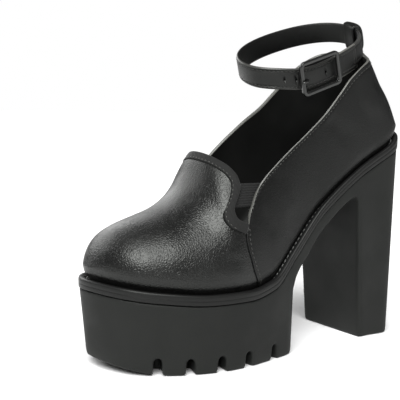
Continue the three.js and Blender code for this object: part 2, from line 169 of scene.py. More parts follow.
def rim(k, inset=0.0):
    """x and s of place k, moved inwards by inset, and the station s of the rim itself."""
    k = np.mod(np.asarray(k, float), 2 * HALF)
    i = np.floor(k).astype(int)
    t = (k - i)[..., None]
    p0, p1, p2, p3 = (RIM[(i + step) % (2 * HALF)] for step in (-1, 0, 1, 2))
    d0, d1, d2 = (np.sqrt(np.linalg.norm(b - a, axis=-1))[..., None]
                  for a, b in ((p0, p1), (p1, p2), (p2, p3)))
    m1 = ((p1 - p0) / d0 - (p2 - p0) / (d0 + d1) + (p2 - p1) / d1) * d1
    m2 = ((p2 - p1) / d1 - (p3 - p1) / (d1 + d2) + (p3 - p2) / d2) * d1
    c2, c3 = 3 * (p2 - p1) - 2 * m1 - m2, 2 * (p1 - p2) + m1 + m2
    p = p1 + m1 * t + c2 * t ** 2 + c3 * t ** 3
    v = m1 + 2 * c2 * t + 3 * c3 * t ** 2
    v = v / np.linalg.norm(v, axis=-1, keepdims=True)
    return p[..., 0] - v[..., 1] * inset, p[..., 1] + v[..., 0] * inset, p[..., 1]


rim_x, rim_s, _ = rim(np.linspace(0, 2 * HALF, 2000))
welt_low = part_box("welt")[0]
SHIFT = np.array([welt_low[0] / MM - rim_x.min(), welt_low[1] / MM - rim_s.min(), 0])
print("shoe millimetres to frame millimetres:", SHIFT.round(2))

# %% [markdown]
# ## Surface of the last
#
# One function gives any point of the upper: how far back (k), which side, how high (h from the
# feather line, 0, to the instep ridge, 1) and how deep below the outer face. Linings, overlays
# and gores are then the same surface at another depth, so they can't cross each other, which
# panels shrink-wrapped to a sculpted last would do. Above the widest line a section is a
# superellipse, and below it the leather tucks in under the rim.

# %% Last surface
WELT_WIDTH, WELT_HEIGHT, BULGE_HEIGHT = 5.9, 6.0, 7.0
GAP, WALL = 0.3, 1.8
TUCK_SHARE = 0.14
TUCK = table("above_rim share", [(-9, 0), (-1.7, 0), (.6, .3), (3, .76), (7, 1)])


def rim_top(s):
    return column(SIDE, "rim", s)


def seat(s):
    """Height of the sole unit's top, which carries welt and insole."""
    return rim_top(s) - WELT_HEIGHT - column(SIDE, "welt_extra", s) - GAP


def last(k, side, h, depth):
    """Points of the upper at place k, side 1 outer or -1 inner, height share h, and depth."""
    k, side, h, depth = np.broadcast_arrays(*(np.asarray(v, float) for v in (k, side, h, depth)))
    s = rim(k)[2]
    top_of_rim = rim_top(s)
    foot, wide = seat(s) + 1.5 * GAP, top_of_rim + BULGE_HEIGHT
    bulge = column(LAST, "bulge", s)
    top = np.maximum(column(LAST, "ridge", s) - depth, wide)
    power = 2 / column(LAST, "round", s)
    x, y, _ = rim(k * side, bulge + depth)
    ridge_x, ridge_y = column(LAST, "ridge_x", s), (y + rim(-k * side, bulge + depth)[1]) / 2
    angle = np.clip((h - TUCK_SHARE) / (1 - TUCK_SHARE), 0, 1) * math.pi / 2
    out = np.clip(np.cos(angle), 0, 1) ** power
    z = wide + (top - wide) * np.sin(angle) ** power
    forward = column(LAST, "lean", s) * column(HEEL_LEAN, "forward", z - wide)
    over = np.stack([ridge_x + (x - ridge_x) * out, ridge_y + (y - ridge_y) * out - forward, z], -1)
    low_z = foot + (wide - foot) * np.clip(h / TUCK_SHARE, 0, 1)
    share = smooth(TUCK["above_rim"], TUCK["share"], low_z - top_of_rim)
    start = WELT_WIDTH + GAP
    low_x, low_y, _ = rim(k * side, depth + start + (bulge - start) * share)
    under = np.stack([low_x, low_y, low_z], -1)
    return np.where((h < TUCK_SHARE)[..., None], under, over)


def first_crossing(values, grid):
    """Along the last axis, where values first turn positive, read off grid."""
    i = np.clip(np.argmax(values > 0, axis=-1), 1, None)
    take = lambda a, j: np.take_along_axis(np.broadcast_to(a, values.shape), j[..., None], -1)[..., 0]
    a, b = take(values, i - 1), take(values, i)
    share = np.clip(-a / np.where(b - a == 0, 1, b - a), 0, 1)
    return take(grid, i - 1) * (1 - share) + take(grid, i) * share


print("toe height", last(0, 1, 1, 0).round(1), "ball, outer side", last(4.5, 1, .14, 0).round(1))

# %% [markdown]
# ## Panel lines
#
# The upper has a vamp, which is one piece with the tongue, and a quarter that runs from one
# side seam round the heel to the other. A Boolean or a knife could cut them out of one skin,
# but would leave ragged cells, so the grids themselves end on the lines. The lines are drawn in
# side view, as on a paper pattern: the vamp's back edge and the binding's inner edge give s for
# each height, and the top line gives a height for each s, with its own points on each side.

# %% Panel lines
VAMP_BACK = table("z s", [
    (38, 97), (47.9, 92.2), (56.3, 87.8), (63.6, 85.4), (70.7, 83.4), (75.5, 82.7), (78.2, 83),
    (82.1, 84.1), (84.3, 85.1), (85.1, 82.5), (86.4, 79.4), (88.7, 77.4), (92, 76.9),
    (94.8, 78.1), (98.2, 80.2), (102, 82.4), (105.5, 84.1), (110, 84), (115.8, 81.7),
    (121.4, 77), (128.2, 71.5), (150, 62)])
BINDING_LINE = table("z s", [
    (78.6, 81.6), (79.7, 78.9), (80.9, 75.8), (82.1, 73), (84.4, 71.3), (86.6, 70.3),
    (88.2, 70.2), (90.9, 71), (94.3, 73.2), (98.2, 75.7), (101.5, 77.4), (104.9, 78.8),
    (108.2, 79.4), (112.1, 78.2), (116, 75.4), (119.5, 72.2), (122.5, 69.2), (131, 62)])
TOP_LINE = {
    1: [(84.6, 82.8), (85.8, 87), (87.5, 91), (89.9, 94.9), (92, 98.9), (95, 103.4),
        (98.5, 107.3), (103.3, 111.9), (108.8, 116.4), (121.2, 125.8), (132.6, 134),
        (146.7, 145.8), (161, 160.8), (170, 170.6), (180, 178.8),
        (190, 184), (198, 188), (205, 190.8), (226, 191.5)],
    -1: [(84.6, 82.8), (86.2, 86), (88.6, 91), (91.4, 104), (96, 117), (105, 127), (115, 135.5),
         (125, 143.2), (137, 151), (150, 161.4), (163, 172.4), (177, 182.6), (190, 189.4),
         (200, 190.6), (226, 191.5)]}


print(len(VAMP_BACK["z"]), "points on the vamp's back edge")

# %% Where the last meets the lines
SEAM_PLACES = np.linspace(3.4, 6.6, 321)
TOP_K = np.linspace(4.6, HALF, 300)


def line_s(line, z):
    return smooth(line["z"], line["s"], z)


def row_meets(line, side, h, extra=0.0):
    """Place k where the rows at height h cross a line, extra millimetres behind it."""
    k = SEAM_PLACES
    p = last(k, side[:, None], h[:, None], 0)
    past = p[..., 1] - line_s(line, p[..., 2]) - np.atleast_1d(extra)[:, None]
    return first_crossing(past, k)


def top_shares(side):
    """Height share of the top line at each place of TOP_K."""
    h = np.linspace(0, 1, 400)
    p = last(TOP_K[:, None], side, h, 0)
    s, z = zip(*TOP_LINE[side])
    return first_crossing(p[..., 2] - smooth(s, z, p[..., 1]), h)


TOP_H = {side: top_shares(side) for side in (1, -1)}


def top_share(k, side):
    """Height share of the top line at any place and side."""
    return np.where(side > 0, np.interp(k, TOP_K, TOP_H[1]), np.interp(k, TOP_K, TOP_H[-1]))


print("top line at the heel:", last(HALF, 1, top_share(HALF, 1), 0).round(1))

# %% [markdown]
# ## Making a mesh
#
# Everything thin on a shoe is a sheet with a thickness, and its cut or turned edge catches the
# light. A Solidify modifier would leave that edge square. So a panel is made from two grids of
# points, outer and inner, and one function joins their borders with a half-round edge. Long
# pieces, such as the welt and the strap, are a cross-section carried along a line instead.

# %% Pieces
def make_piece(name, points, faces, materials, which=None, replaces=()):
    """A smooth mesh object from shoe millimetres, hung on the root and hiding the solids it replaces.
    """
    mesh = bpy.data.meshes.new(name)
    mesh.from_pydata((np.asarray(points, float) + SHIFT) * MM, [],
                     faces.tolist() if isinstance(faces, np.ndarray) else faces)
    for material in materials:
        mesh.materials.append(material)
    if which is not None:
        mesh.polygons.foreach_set("material_index", np.asarray(which, np.int32))
    mesh.polygons.foreach_set("use_smooth", np.ones(len(mesh.polygons), bool))
    obj = into_scene(name, mesh)
    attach(obj, "root")
    if replaces:
        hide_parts(*replaces)
    print(f"{name}: {len(mesh.polygons)} faces")
    return obj


WELD = 0.004


def tidy_mesh(obj):
    """Joins points that coincide, drops empty faces and turns all faces outwards."""
    bm = bmesh.new()
    bm.from_mesh(obj.data)
    bmesh.ops.remove_doubles(bm, verts=bm.verts, dist=WELD * MM)
    bmesh.ops.dissolve_degenerate(bm, edges=bm.edges, dist=WELD * MM)
    bmesh.ops.recalc_face_normals(bm, faces=bm.faces)
    open_edges = sum(len(e.link_faces) < 2 for e in bm.edges)
    bm.to_mesh(obj.data)
    bm.free()
    print(f"   {obj.name}: open edges {open_edges}")
    return obj


print("points closer than", WELD, "mm are joined")

# %% Sheets
EDGE_STEPS = 3


def unit(v):
    return v / (np.linalg.norm(v, axis=-1, keepdims=True) + 1e-12)


def grid_faces(rows, columns, start=0, flip=False):
    """Four-sided faces of a grid whose points are numbered row by row from start."""
    i, j = np.meshgrid(np.arange(rows - 1), np.arange(columns - 1), indexing="ij")
    a = (start + i * columns + j).ravel()
    faces = np.stack([a, a + 1, a + columns + 1, a + columns], -1)
    return faces[:, ::-1] if flip else faces


def perimeter(rows, columns, sewn_start):
    """Grid places round the border. A sewn start has its first column left out."""
    low = [(i, 0) for i in range(rows - 1, 0, -1)]
    loop = [(0, j) for j in range(columns - 1)] + [(i, columns - 1) for i in range(rows - 1)]
    loop += [(rows - 1, j) for j in range(columns - 1, 0, -1)]
    return loop + [(rows - 1, 0)] if sewn_start else loop + low


def sheet(outer, inner, sewn_start=False):
    """Points, faces and a number for each face: 0 outer, 1 inner, 2 edge."""
    rows, columns = outer.shape[:2]
    size = rows * columns
    closed = not sewn_start
    i, j = np.array(perimeter(rows, columns, sewn_start)).T
    back_i = i + (i == 0).astype(int) - (i == rows - 1)
    back_j = j + ((j == 0) & closed).astype(int) - (j == columns - 1)
    o, n = outer[i, j], inner[i, j]
    out = o - outer[back_i, back_j]
    out /= np.linalg.norm(out, axis=-1, keepdims=True) + 1e-9
    radius = np.linalg.norm(o - n, axis=-1, keepdims=True) / 2
    edge_points = []
    for step in range(1, EDGE_STEPS + 1):
        a = math.pi * step / (EDGE_STEPS + 1)
        edge_points.append((o + n) / 2 + math.cos(a) * (o - n) / 2 + math.sin(a) * radius * out)
    count = len(i)
    ids = [i * columns + j]
    ids += [2 * size + e * count + np.arange(count) for e in range(EDGE_STEPS)]
    ids += [size + i * columns + j]
    turn = count if closed else count - 1
    strips = []
    for low, high in zip(ids, ids[1:]):
        a = np.arange(turn)
        b = (a + 1) % count
        strips.append(np.stack([low[a], high[a], high[b], low[b]], -1))
    strips = np.concatenate(strips)
    faces = np.concatenate([grid_faces(rows, columns), grid_faces(rows, columns, size, True), strips])
    which = np.repeat([0, 1, 2], [(rows - 1) * (columns - 1)] * 2 + [len(strips)])
    points = np.concatenate([outer.reshape(-1, 3), inner.reshape(-1, 3)] + edge_points)
    return points, faces, which


print("a sheet's edge turns in", EDGE_STEPS + 1, "steps")

# %% Lofts
def loft(loops, ring=False):
    """Closed loops of points joined in a row or a ring, with flat ends on a row."""
    loops = np.asarray(loops, float)
    count, size = loops.shape[:2]
    i, j = np.meshgrid(np.arange(count if ring else count - 1), np.arange(size), indexing="ij")
    a, b = (i * size + j).ravel(), (i * size + (j + 1) % size).ravel()
    c, d = ((i + 1) % count * size + (j + 1) % size).ravel(), ((i + 1) % count * size + j).ravel()
    faces = np.stack([a, b, c, d], -1).tolist()
    if not ring:
        faces += [list(range(size))[::-1], list(range((count - 1) * size, count * size))]
    return loops.reshape(-1, 3), faces


print("a box from two loops has", len(loft(np.zeros((2, 4, 3)))[1]), "faces")

# %% [markdown]
# ## Stitches
#
# A lock stitch shows as a short fat thread that dives into the leather at both ends. Each one
# is a tiny bent sausage, and a whole seam is one mesh of copies along its line: a texture
# can't give the glint on every thread, and an array along a curve would be a piece a stitch.

# %% Stitches
# distance from one stitch to the next, its length and its thickness
STITCH = {"seam": (2.7, 1.9, .5), "binding": (2.9, 1.7, .5), "strap": (2.6, 1.8, .45),
          "tab": (2.4, 1.7, .45), "welt": (3.5, 2.5, .95)}
STITCH_RINGS, STITCH_SIDES = 5, 6
CROWN_UP, ENDS_DOWN, END_FULLNESS = .55, .75, 1.02


def spaced(path, pitch):
    """Arc lengths every pitch along a path, and a reader of values at an arc length."""
    arc = np.concatenate([[0], np.cumsum(np.linalg.norm(np.diff(path, axis=0), axis=-1))])
    count = max(int(arc[-1] / pitch), 1)
    at = (np.arange(count) + .5) * arc[-1] / count
    return at, lambda values, where: np.stack([np.interp(where, arc, v) for v in values.T], -1)


def stitches(name, path, normals, kind, material, sink=.25):
    """One mesh of threads along a path. Sink is the share of the thickness that is pulled in."""
    pitch, length, thick = STITCH[kind]
    path, normals = np.asarray(path, float), unit(np.asarray(normals, float))
    at, read = spaced(path, pitch)
    rings, sides = STITCH_RINGS, STITCH_SIDES
    t = np.linspace(-1, 1, rings)
    turn = np.arange(sides) * 2 * math.pi / sides
    points, faces = [], []
    for centre in at:
        place = read(path, centre + t * length / 2)
        up = unit(read(normals, np.full(rings, centre)))
        along = unit(np.gradient(place, axis=0))
        side = unit(np.cross(up, along))
        bow = thick * (CROWN_UP - ENDS_DOWN * t ** 2) - sink * thick
        fat = thick / 2 * np.sqrt(np.clip(END_FULLNESS - t ** 4, END_FULLNESS - 1, 1))
        ring = (place + up * bow[:, None])[:, None] + fat[:, None, None] * (
            side[:, None] * np.cos(turn)[None, :, None] + up[:, None] * np.sin(turn)[None, :, None])
        start = len(points) * rings * sides
        points.append(ring.reshape(-1, 3))
        for i in range(rings - 1):
            for j in range(sides):
                a, b = start + i * sides + j, start + i * sides + (j + 1) % sides
                faces.append((a, b, b + sides, a + sides))
        faces.append(tuple(start + j for j in range(sides))[::-1])
        faces.append(tuple(start + (rings - 1) * sides + j for j in range(sides)))
    return make_piece(name, np.concatenate(points), faces, [material])


print("a stitch has", STITCH_RINGS * STITCH_SIDES, "points")

# %% [markdown]
# ## Materials
#
# Each finish starts from a Principled shader with the values of the real stuff. A value that
# is the same all over is set on the shader itself. Grain could be carved into the mesh, but it
# is finer than the cells, so it is bump, and its scale comes from a size in millimetres. The
# shine on this black is a little greener than pure grey, so all finishes share one specular
# tint. One helper adds a node with its settings and links.

# %% Material helpers
COOL_GREY = (.975, 1, .96, 1)


def linear(code):
    """sRGB hex colour to the linear values that the shader takes."""
    parts = [int(code[i:i + 2], 16) / 255 for i in (1, 3, 5)]
    return [c / 12.92 if c <= .04045 else ((c + .055) / 1.055) ** 2.4 for c in parts] + [1]


def add(tree, kind, inputs=None, **settings):
    """A node with its settings. An input takes a value, or a socket to link from."""
    node = tree.nodes.new(kind)
    for key, value in settings.items():
        setattr(node, key, value)
    for key, value in (inputs or {}).items():
        if isinstance(value, bpy.types.NodeSocket):
            tree.links.new(value, node.inputs[key])
        else:
            node.inputs[key].default_value = value
    return node


def finish(name, color, **values):
    """A named material with its shader values set. Returns it, its nodes and its shader."""
    material = bpy.data.materials.new(name)
    material.use_nodes = True
    shader = material.node_tree.nodes["Principled BSDF"]
    shader.inputs["Base Color"].default_value = linear(color)
    shader.inputs["Specular Tint"].default_value = COOL_GREY
    for key, value in values.items():
        shader.inputs[key.replace("_", " ")].default_value = value
    return material, material.node_tree, shader


def bump(tree, shader, height, depth_mm, after=None):
    """Relief on the shader, on top of the relief after, which it returns joined with its own."""
    inputs = {"Height": height, "Distance": depth_mm * MM, "Strength": 1.0}
    if after:
        inputs["Normal"] = after
    node = add(tree, "ShaderNodeBump", inputs)
    tree.links.new(node.outputs["Normal"], shader.inputs["Normal"])
    return node.outputs["Normal"]


def per_mm(size_mm):
    """Texture scale that gives features of this size."""
    return 1 / (size_mm * MM)


def ramp(tree, value, low, high, to_low=0.0, to_high=1.0):
    """A soft step from to_low to to_high while the value goes from low to high."""
    return add(tree, "ShaderNodeMapRange", {"Value": value, "From Min": low, "From Max": high,
               "To Min": to_low, "To Max": to_high}, interpolation_type="SMOOTHSTEP").outputs[0]


def noise(tree, where, size_mm, detail):
    """Soft random cloud with features of this size."""
    return add(tree, "ShaderNodeTexNoise", {"Vector": where, "Scale": per_mm(size_mm),
               "Detail": detail})


def places(tree):
    return add(tree, "ShaderNodeTexCoord").outputs["Object"]


print("mid grey is", round(linear("#808080")[0], 3), "to the shader")

# %% [markdown]
# ### Tumbled leather
#
# The vamp is chrome-tanned cowhide, drum-dyed and tumbled, with a thin semi-gloss finish coat.
# Tumbling shrinks the grain into round pebbles about 1.5 mm across with fine creases between them:
# the creases are painted darker, as the shade that lies in them, and every pebble carries its own
# glint. A scanned picture of hide would repeat, so Voronoi cells with a wandering grid make the
# pebbles, and a broad soft noise the slack of the hide. The quarters are the same hide plated
# smoother, with flatter and finer pebbles, and the strap is finer still. Wax and wear take shine from
# quarters, strap and lining, which is a lower IOR here than the 1.5 of the vamp's finish coat.

# %% Leather materials
# Colour painted into the creases between pebbles as their shade.
CREASE_SHADE_COLOR = "#080808"
SLACK_MM, SLACK_DEPTH = 26, .1


def pebble_leather(name, color, pebble_mm, depth_mm, roughness, dull, ior=1.5):
    """Grain with pebbles of a size and depth. Dull is what slack areas add to the roughness."""
    material, tree, shader = finish(name, color, Roughness=roughness, IOR=ior)
    where = places(tree)
    wander = noise(tree, where, pebble_mm * 1.8, 2.0)
    shifted = add(tree, "ShaderNodeMixRGB", {"Fac": .0012, "Color1": where,
                  "Color2": wander.outputs["Color"]}, blend_type="LINEAR_LIGHT")
    cells = add(tree, "ShaderNodeTexVoronoi", {"Vector": shifted.outputs[0],
                "Scale": per_mm(pebble_mm)}, feature="DISTANCE_TO_EDGE")
    crown = ramp(tree, cells.outputs["Distance"], 0.0, .34)
    fine = noise(tree, where, .5, 3.0)
    broad = noise(tree, where, SLACK_MM, 2.0)
    slack = bump(tree, shader, broad.outputs["Fac"], SLACK_DEPTH)
    first = bump(tree, shader, crown, depth_mm, after=slack)
    bump(tree, shader, fine.outputs["Fac"], depth_mm * .15, after=first)
    # The creases between pebbles are painted darker: painted shade.
    crease_shade_mix = add(tree, "ShaderNodeMixRGB", {"Fac": crown, "Color1": linear(CREASE_SHADE_COLOR),
               "Color2": linear(color)}, blend_type="MIX")
    tree.links.new(crease_shade_mix.outputs[0], shader.inputs["Base Color"])
    rough = ramp(tree, broad.outputs["Fac"], .35, .65, roughness - .04, roughness + dull)
    tree.links.new(rough, shader.inputs["Roughness"])
    return material


tumbled_vamp_leather = pebble_leather("tumbled_vamp_leather", "#0d0d0d", 1.5, .075, .37, .04)
plated_quarter_leather = pebble_leather("plated_quarter_leather", "#0c0c0c", 1.2, .05, .42, .06, 1.4)
lining_leather = pebble_leather("smooth_lining_leather", "#090908", .8, .02, .65, .05, 1.36)
turned_strap_leather = pebble_leather("turned_strap_leather", "#0f0f0f", .9, .06, .4, .05, 1.45)
print("leathers:", [m.name for m in (tumbled_vamp_leather, plated_quarter_leather, lining_leather,
                                    turned_strap_leather)])

# %% [markdown]
# ### Elastic and binding
#
# The gore is ribbed elastic: rubber cords covered with textured yarn, so its ribs are real shape and
# only the yarn is bump. The tongue's binding is woven grosgrain tape, with fine ribs about 0.9 mm
# apart, and along the seam beside it a near-black strip is painted as the shade that lies deep in the
# fold. Real weave could be modelled thread by thread, but it is too fine to show, so a wave texture
# bent by noise stands for it. Yarn scatters light inside itself, so its shine is weak: the IOR is
# low, and sheen gives the fluff at its edges. A diagonal wave needs a scale of .36 to be one unit
# long, and .13 draws it 2.8 times as coarse, or it would not show.

# %% Fabric materials
WEAVE_SCALE = .13


def woven(name, color, thread_mm, depth_mm, roughness, sheen):
    material, tree, shader = finish(name, color, Roughness=roughness, IOR=1.35,
                                    Sheen_Weight=sheen, Sheen_Roughness=.5)
    where = places(tree)
    weave = add(tree, "ShaderNodeTexWave", {"Vector": where,
                "Scale": per_mm(thread_mm) * WEAVE_SCALE,
                "Distortion": 1.4, "Detail": 2.0, "Detail Scale": 2.0},
                wave_type="BANDS", bands_direction="DIAGONAL")
    fluff = noise(tree, where, .6, 4.0)
    first = bump(tree, shader, weave.outputs["Fac"], depth_mm)
    bump(tree, shader, fluff.outputs["Fac"], depth_mm * .7, after=first)
    return material


grosgrain_binding = woven("grosgrain_binding", "#161616", .9, .12, .75, .12)
# This material is a painted shadow: the near-black shade in the seam beside the binding.
seam_shadow = woven("painted_seam_shadow", "#050505", .9, .05, .9, 0)
ribbed_elastic = woven("ribbed_elastic", "#141414", .5, .06, .75, .15)
print("fabrics:", [m.name for m in (grosgrain_binding, seam_shadow, ribbed_elastic)])

# %% [markdown]
# ### Thread
#
# Bonded polyester thread is twisted from plies and glued smooth, so it has a soft sheen; here that
# sheen is painted into the colour, so the black thread is grey beside matte leather. Its plies could
# be twisted in the mesh, but a diagonal wave draws them well enough, 7 times as coarse as they are,
# so that they show. The welt's thread is thick and grey, and the binding's is black with a tighter
# bond, painted a lighter grey as the glint on its stitches.

# %% Thread materials
PLY_MM, PLY_SCALE = .35, .05


def bonded_thread(name, color, roughness):
    material, tree, shader = finish(name, color, Roughness=roughness, IOR=1.5)
    ply = add(tree, "ShaderNodeTexWave", {"Vector": places(tree),
              "Scale": per_mm(PLY_MM) * PLY_SCALE},
              wave_type="BANDS", bands_direction="DIAGONAL")
    bump(tree, shader, ply.outputs["Fac"], .04)
    return material


# Black and binding thread are painted grey as the sheen and glint on the stitches; the welt's grey is
# the thread's own colour.
sheen_painted_black_thread = bonded_thread("black_bonded_thread_painted_sheen", "#363634", .36)
glint_painted_binding_thread = bonded_thread("binding_thread_painted_glint", "#484845", .35)
grey_thread = bonded_thread("grey_welt_thread", "#6f706e", .5)
print("threads:", [m.name for m in (sheen_painted_black_thread, glint_painted_binding_thread, grey_thread)])

# %% [markdown]
# ### Moulded rubber, painted metal and edge finish
#
# The sole unit is moulded rubber from an etched mould: almost matte, with a very fine even
# grain and slight mottling. The welt is the same compound, a little shinier where it is rubbed.
# Rubber's own IOR is 1.52, but dust from the mould dims its shine, so 1.36 is used. The buckle is
# cast zinc under black enamel, whose clear smooth film pools at the corners: a dark shader with a
# coat does that, and no bare metal shows. Cut leather edges have a sealed, shinier finish, and their
# light grey colour is a painted highlight, the thin bright line that light lays along them; the
# strap's round edges get a darker grey, a fainter painted highlight. Brush strokes and orange peel
# are a faint noise bump.

# %% Rubber, enamel and edge paint


def moulded_rubber(name, color, roughness):
    material, tree, shader = finish(name, color, Roughness=roughness, IOR=1.36)
    where = places(tree)
    etch = noise(tree, where, .8, 3.0)
    cloud = noise(tree, where, 22, 3.0)
    bump(tree, shader, etch.outputs["Fac"], .05)
    rough = ramp(tree, cloud.outputs["Fac"], .3, .7, roughness - .05, roughness + .06)
    tree.links.new(rough, shader.inputs["Roughness"])
    return material


sole_rubber = moulded_rubber("moulded_sole_rubber", "#171817", .62)
welt_rubber = moulded_rubber("moulded_welt_rubber", "#131313", .45)


def sprayed_enamel(name, color):
    material, tree, shader = finish(name, color, Roughness=.28, IOR=1.5, Coat_Weight=.4,
                                    Coat_Roughness=.15)
    peel = noise(tree, places(tree), 1.6, 2.0)
    bump(tree, shader, peel.outputs["Fac"], .02)
    return material


black_enamel = sprayed_enamel("black_enamel", "#121212")


def painted_highlight_finish(name, color):
    material, tree, shader = finish(name, color, Roughness=.3, IOR=1.5)
    drag = noise(tree, places(tree), 2.2, 2.0)
    bump(tree, shader, drag.outputs["Fac"], .05)
    return material


# Both edge colours are painted highlights: light grey on cut edges, darker grey on the strap's round
# edges.
grey_edge_highlight = painted_highlight_finish("painted_edge_highlight", "#60605c")
strap_edge_highlight = painted_highlight_finish("painted_strap_edge_highlight", "#3c3c3a")
print("hard finishes:", [m.name for m in (sole_rubber, welt_rubber, black_enamel, grey_edge_highlight,
                                         strap_edge_highlight)])

# %% [markdown]
# ## Sole unit
#
# Platform, shank and block heel come out of one mould, with no sharp edge anywhere. Lofting and
# cutting would leave hard edges, so the shape is written as a field: how far a point is from
# each wall, with the walls blended where they meet, which gives every edge its moulded radius.
# The surface where the field is zero is then meshed cell by cell.

# %% Sizes of the platform, arch, heel and notches
SOLE_CELL = 1.0
TOE_SPRING, SPRING_START = 7.7, 43.5
PLATFORM_BACK = 125.6
SHANK = [(126.2, 40), (130.6, 52), (137.5, 63.4), (144.8, 72.6), (154.1, 81.2), (164.5, 89.2),
         (171, 93.2), (175.2, 94.6), (177.4, 93.2), (178.2, 89)]
BREAST_FOOT = 184.9
# station, side, width, height and depth of each tread notch
NOTCHES = [(s, side, 4.6, 9.6, 13) for s in (27.5, 45.5, 64.5, 84, 106) for side in (1, -1)]
NOTCHES.append((6.5, -1, 5.6, 19, 9))
NOTCH_FLARE, NOTCH_END_RADIUS, NOTCH_RADIUS = .06, 3.0, 1.2
TOP_INSET = .6
LUG_LIP, LIP_DEPTH, LIP_HALF = 2.2, .35, .7
EDGE_RADIUS, CORNER_RADIUS, TOP_RADIUS = 1.6, 9.0, .8
SIDE_RADIUS, FLOOR_RADIUS = EDGE_RADIUS * 1.6, EDGE_RADIUS * 1.3
CORNER = {"s": 140, "over_s": 10, "z": 62, "over_z": 14}
print(len(NOTCHES), "notches")


# %% Distances that shape the sole
def ground(s):
    """Height of the tread face, which rises towards the toe."""
    return TOE_SPRING * np.clip(1 - s / SPRING_START, 0, None) ** 2


def distance_to(path, x, y):
    """Distance from points to a line of short steps, and whether a closed line holds them."""
    x, y = np.broadcast_arrays(x, y)
    near, inside = np.full(x.shape, 1e9), np.zeros(x.shape, bool)
    for (ax, ay), (bx, by) in zip(path, np.roll(path, -1, axis=0)):
        dx, dy = bx - ax, by - ay
        t = np.clip(((x - ax) * dx + (y - ay) * dy) / (dx * dx + dy * dy + 1e-12), 0, 1)
        near = np.minimum(near, np.hypot(x - ax - t * dx, y - ay - t * dy))
        crosses = (ay > y) != (by > y)
        inside ^= crosses & (x < ax + (y - ay) * dx / (dy if dy else 1e-12))
    return np.where(inside, near, -near)


def blend_max(a, b, radius):
    """The larger of two distances, with the edge between them rounded."""
    return np.maximum(a, b) + np.clip(radius - np.abs(a - b), 0, None) ** 2 / (4 * radius)


def arch_outline():
    """Side view of the space between platform and heel."""
    s, z = zip(*SHANK)
    t, dense = np.arange(len(s)), np.linspace(0, len(s) - 1, 70)
    curve = list(zip(smooth(t, s, dense), smooth(t, z, dense)))
    return np.array([(PLATFORM_BACK, -40)] + curve + [(BREAST_FOOT + 2.4, -40)])


def place_at(s):
    """Place k on the outer side that has station s."""
    k = np.linspace(0, HALF, 600)
    return np.interp(s, rim(k)[2], k)


def notch_field(notch, plan_x, plan_s, z):
    """Negative inside a notch with a round top, a slight flare and a blended end."""
    place, side, width, height, depth = notch
    k = place_at(place) * side
    (ox, oy, _), (ix, iy, _) = rim(k), rim(k, 1.0)
    along = (plan_x - ox) * -(iy - oy) + (plan_s - oy) * (ix - ox)
    inwards = (plan_x - ox) * (ix - ox) + (plan_s - oy) * (iy - oy)
    up = z[:1, :1, :] - ground(place) - (height - width / 2)
    across = np.abs(along)[..., None] - NOTCH_FLARE * np.clip(-up, 0, None)
    slot = np.where(up > 0, np.hypot(across, up), across) - width / 2
    end = inwards[..., None] - column(SIDE, "taper", place) - depth
    return blend_max(slot, end, NOTCH_END_RADIUS)


print("toe stands", ground(0), "mm off the floor")


# %% The sole's field
def sole_field(x, s, z):
    """Negative inside the sole unit. Walls in plan, the arch, tread, top and notches meet here."""
    plan_x, plan_s = x[:, :1, 0], s[:1, :, 0]
    outline = np.stack(rim(np.linspace(0, 2 * HALF, 480, endpoint=False))[:2], -1)
    inside_rim = distance_to(outline, plan_x, plan_s)[..., None]
    side_s, side_z = s[0, :, :], z[0, :, :]
    arch = distance_to(arch_outline(), side_s, side_z)[None]
    floor, top = ground(side_s), seat(side_s)
    share = np.clip((side_z - floor) / (top - floor), 0, 1)
    inset = TOP_INSET + (column(SIDE, "taper", side_s) - TOP_INSET) * (1 - share)
    inset += LIP_DEPTH * np.clip(1 - np.abs(side_z - floor - LUG_LIP) / LIP_HALF, 0, 1)
    slope = np.gradient(top, side_s[:, 0], axis=0)
    ceiling = ((side_z - top) / np.sqrt(1 + slope ** 2))[None]
    near_s = np.clip((CORNER["s"] - side_s) / CORNER["over_s"], 0, 1)
    near_z = np.clip((CORNER["z"] - side_z) / CORNER["over_z"], 0, 1)
    corner = near_s * near_z
    field = blend_max(inset[None] - inside_rim, arch,
                      SIDE_RADIUS + (CORNER_RADIUS - EDGE_RADIUS) * corner[None])
    field = blend_max(field, (floor - side_z)[None], FLOOR_RADIUS)
    field = blend_max(field, ceiling, TOP_RADIUS)
    for notch in NOTCHES:
        field = blend_max(field, -notch_field(notch, plan_x, plan_s, z), NOTCH_RADIUS)
    return field


print("blend at the platform's back corner:", SIDE_RADIUS + CORNER_RADIUS - EDGE_RADIUS, "mm")

# %% [markdown]
# ### Mesh from the field
#
# A Remesh modifier could wrap cells round joined solids, but it would lose the exact walls. So
# the mesh has one point in every cell that the surface passes through, at the mean of the places
# where it crosses the cell's edges, and one face for every crossed edge of the lattice.

# %% One point in a cell, one face across an edge


def crossing_points(value, cells):
    """Sum of the places where each cell's edges are crossed, and how many there are."""
    total, count = np.zeros(cells + (3,), np.float32), np.zeros(cells, np.float32)
    corners = [(i, j, k) for i in (0, 1) for j in (0, 1) for k in (0, 1)]
    part = lambda a, c: a[c[0]:c[0] + cells[0], c[1]:c[1] + cells[1], c[2]:c[2] + cells[2]]
    for a in corners:
        for axis in range(3):
            if a[axis]:
                continue
            b = tuple(v + (n == axis) for n, v in enumerate(a))
            va, vb = part(value, a), part(value, b)
            hit = (va < 0) != (vb < 0)
            t = np.where(hit, va / np.where(hit, va - vb, 1), 0)
            for n in range(3):
                total[..., n] += np.where(hit, a[n] + (t if n == axis else 0), 0)
            count += hit
    return total, count


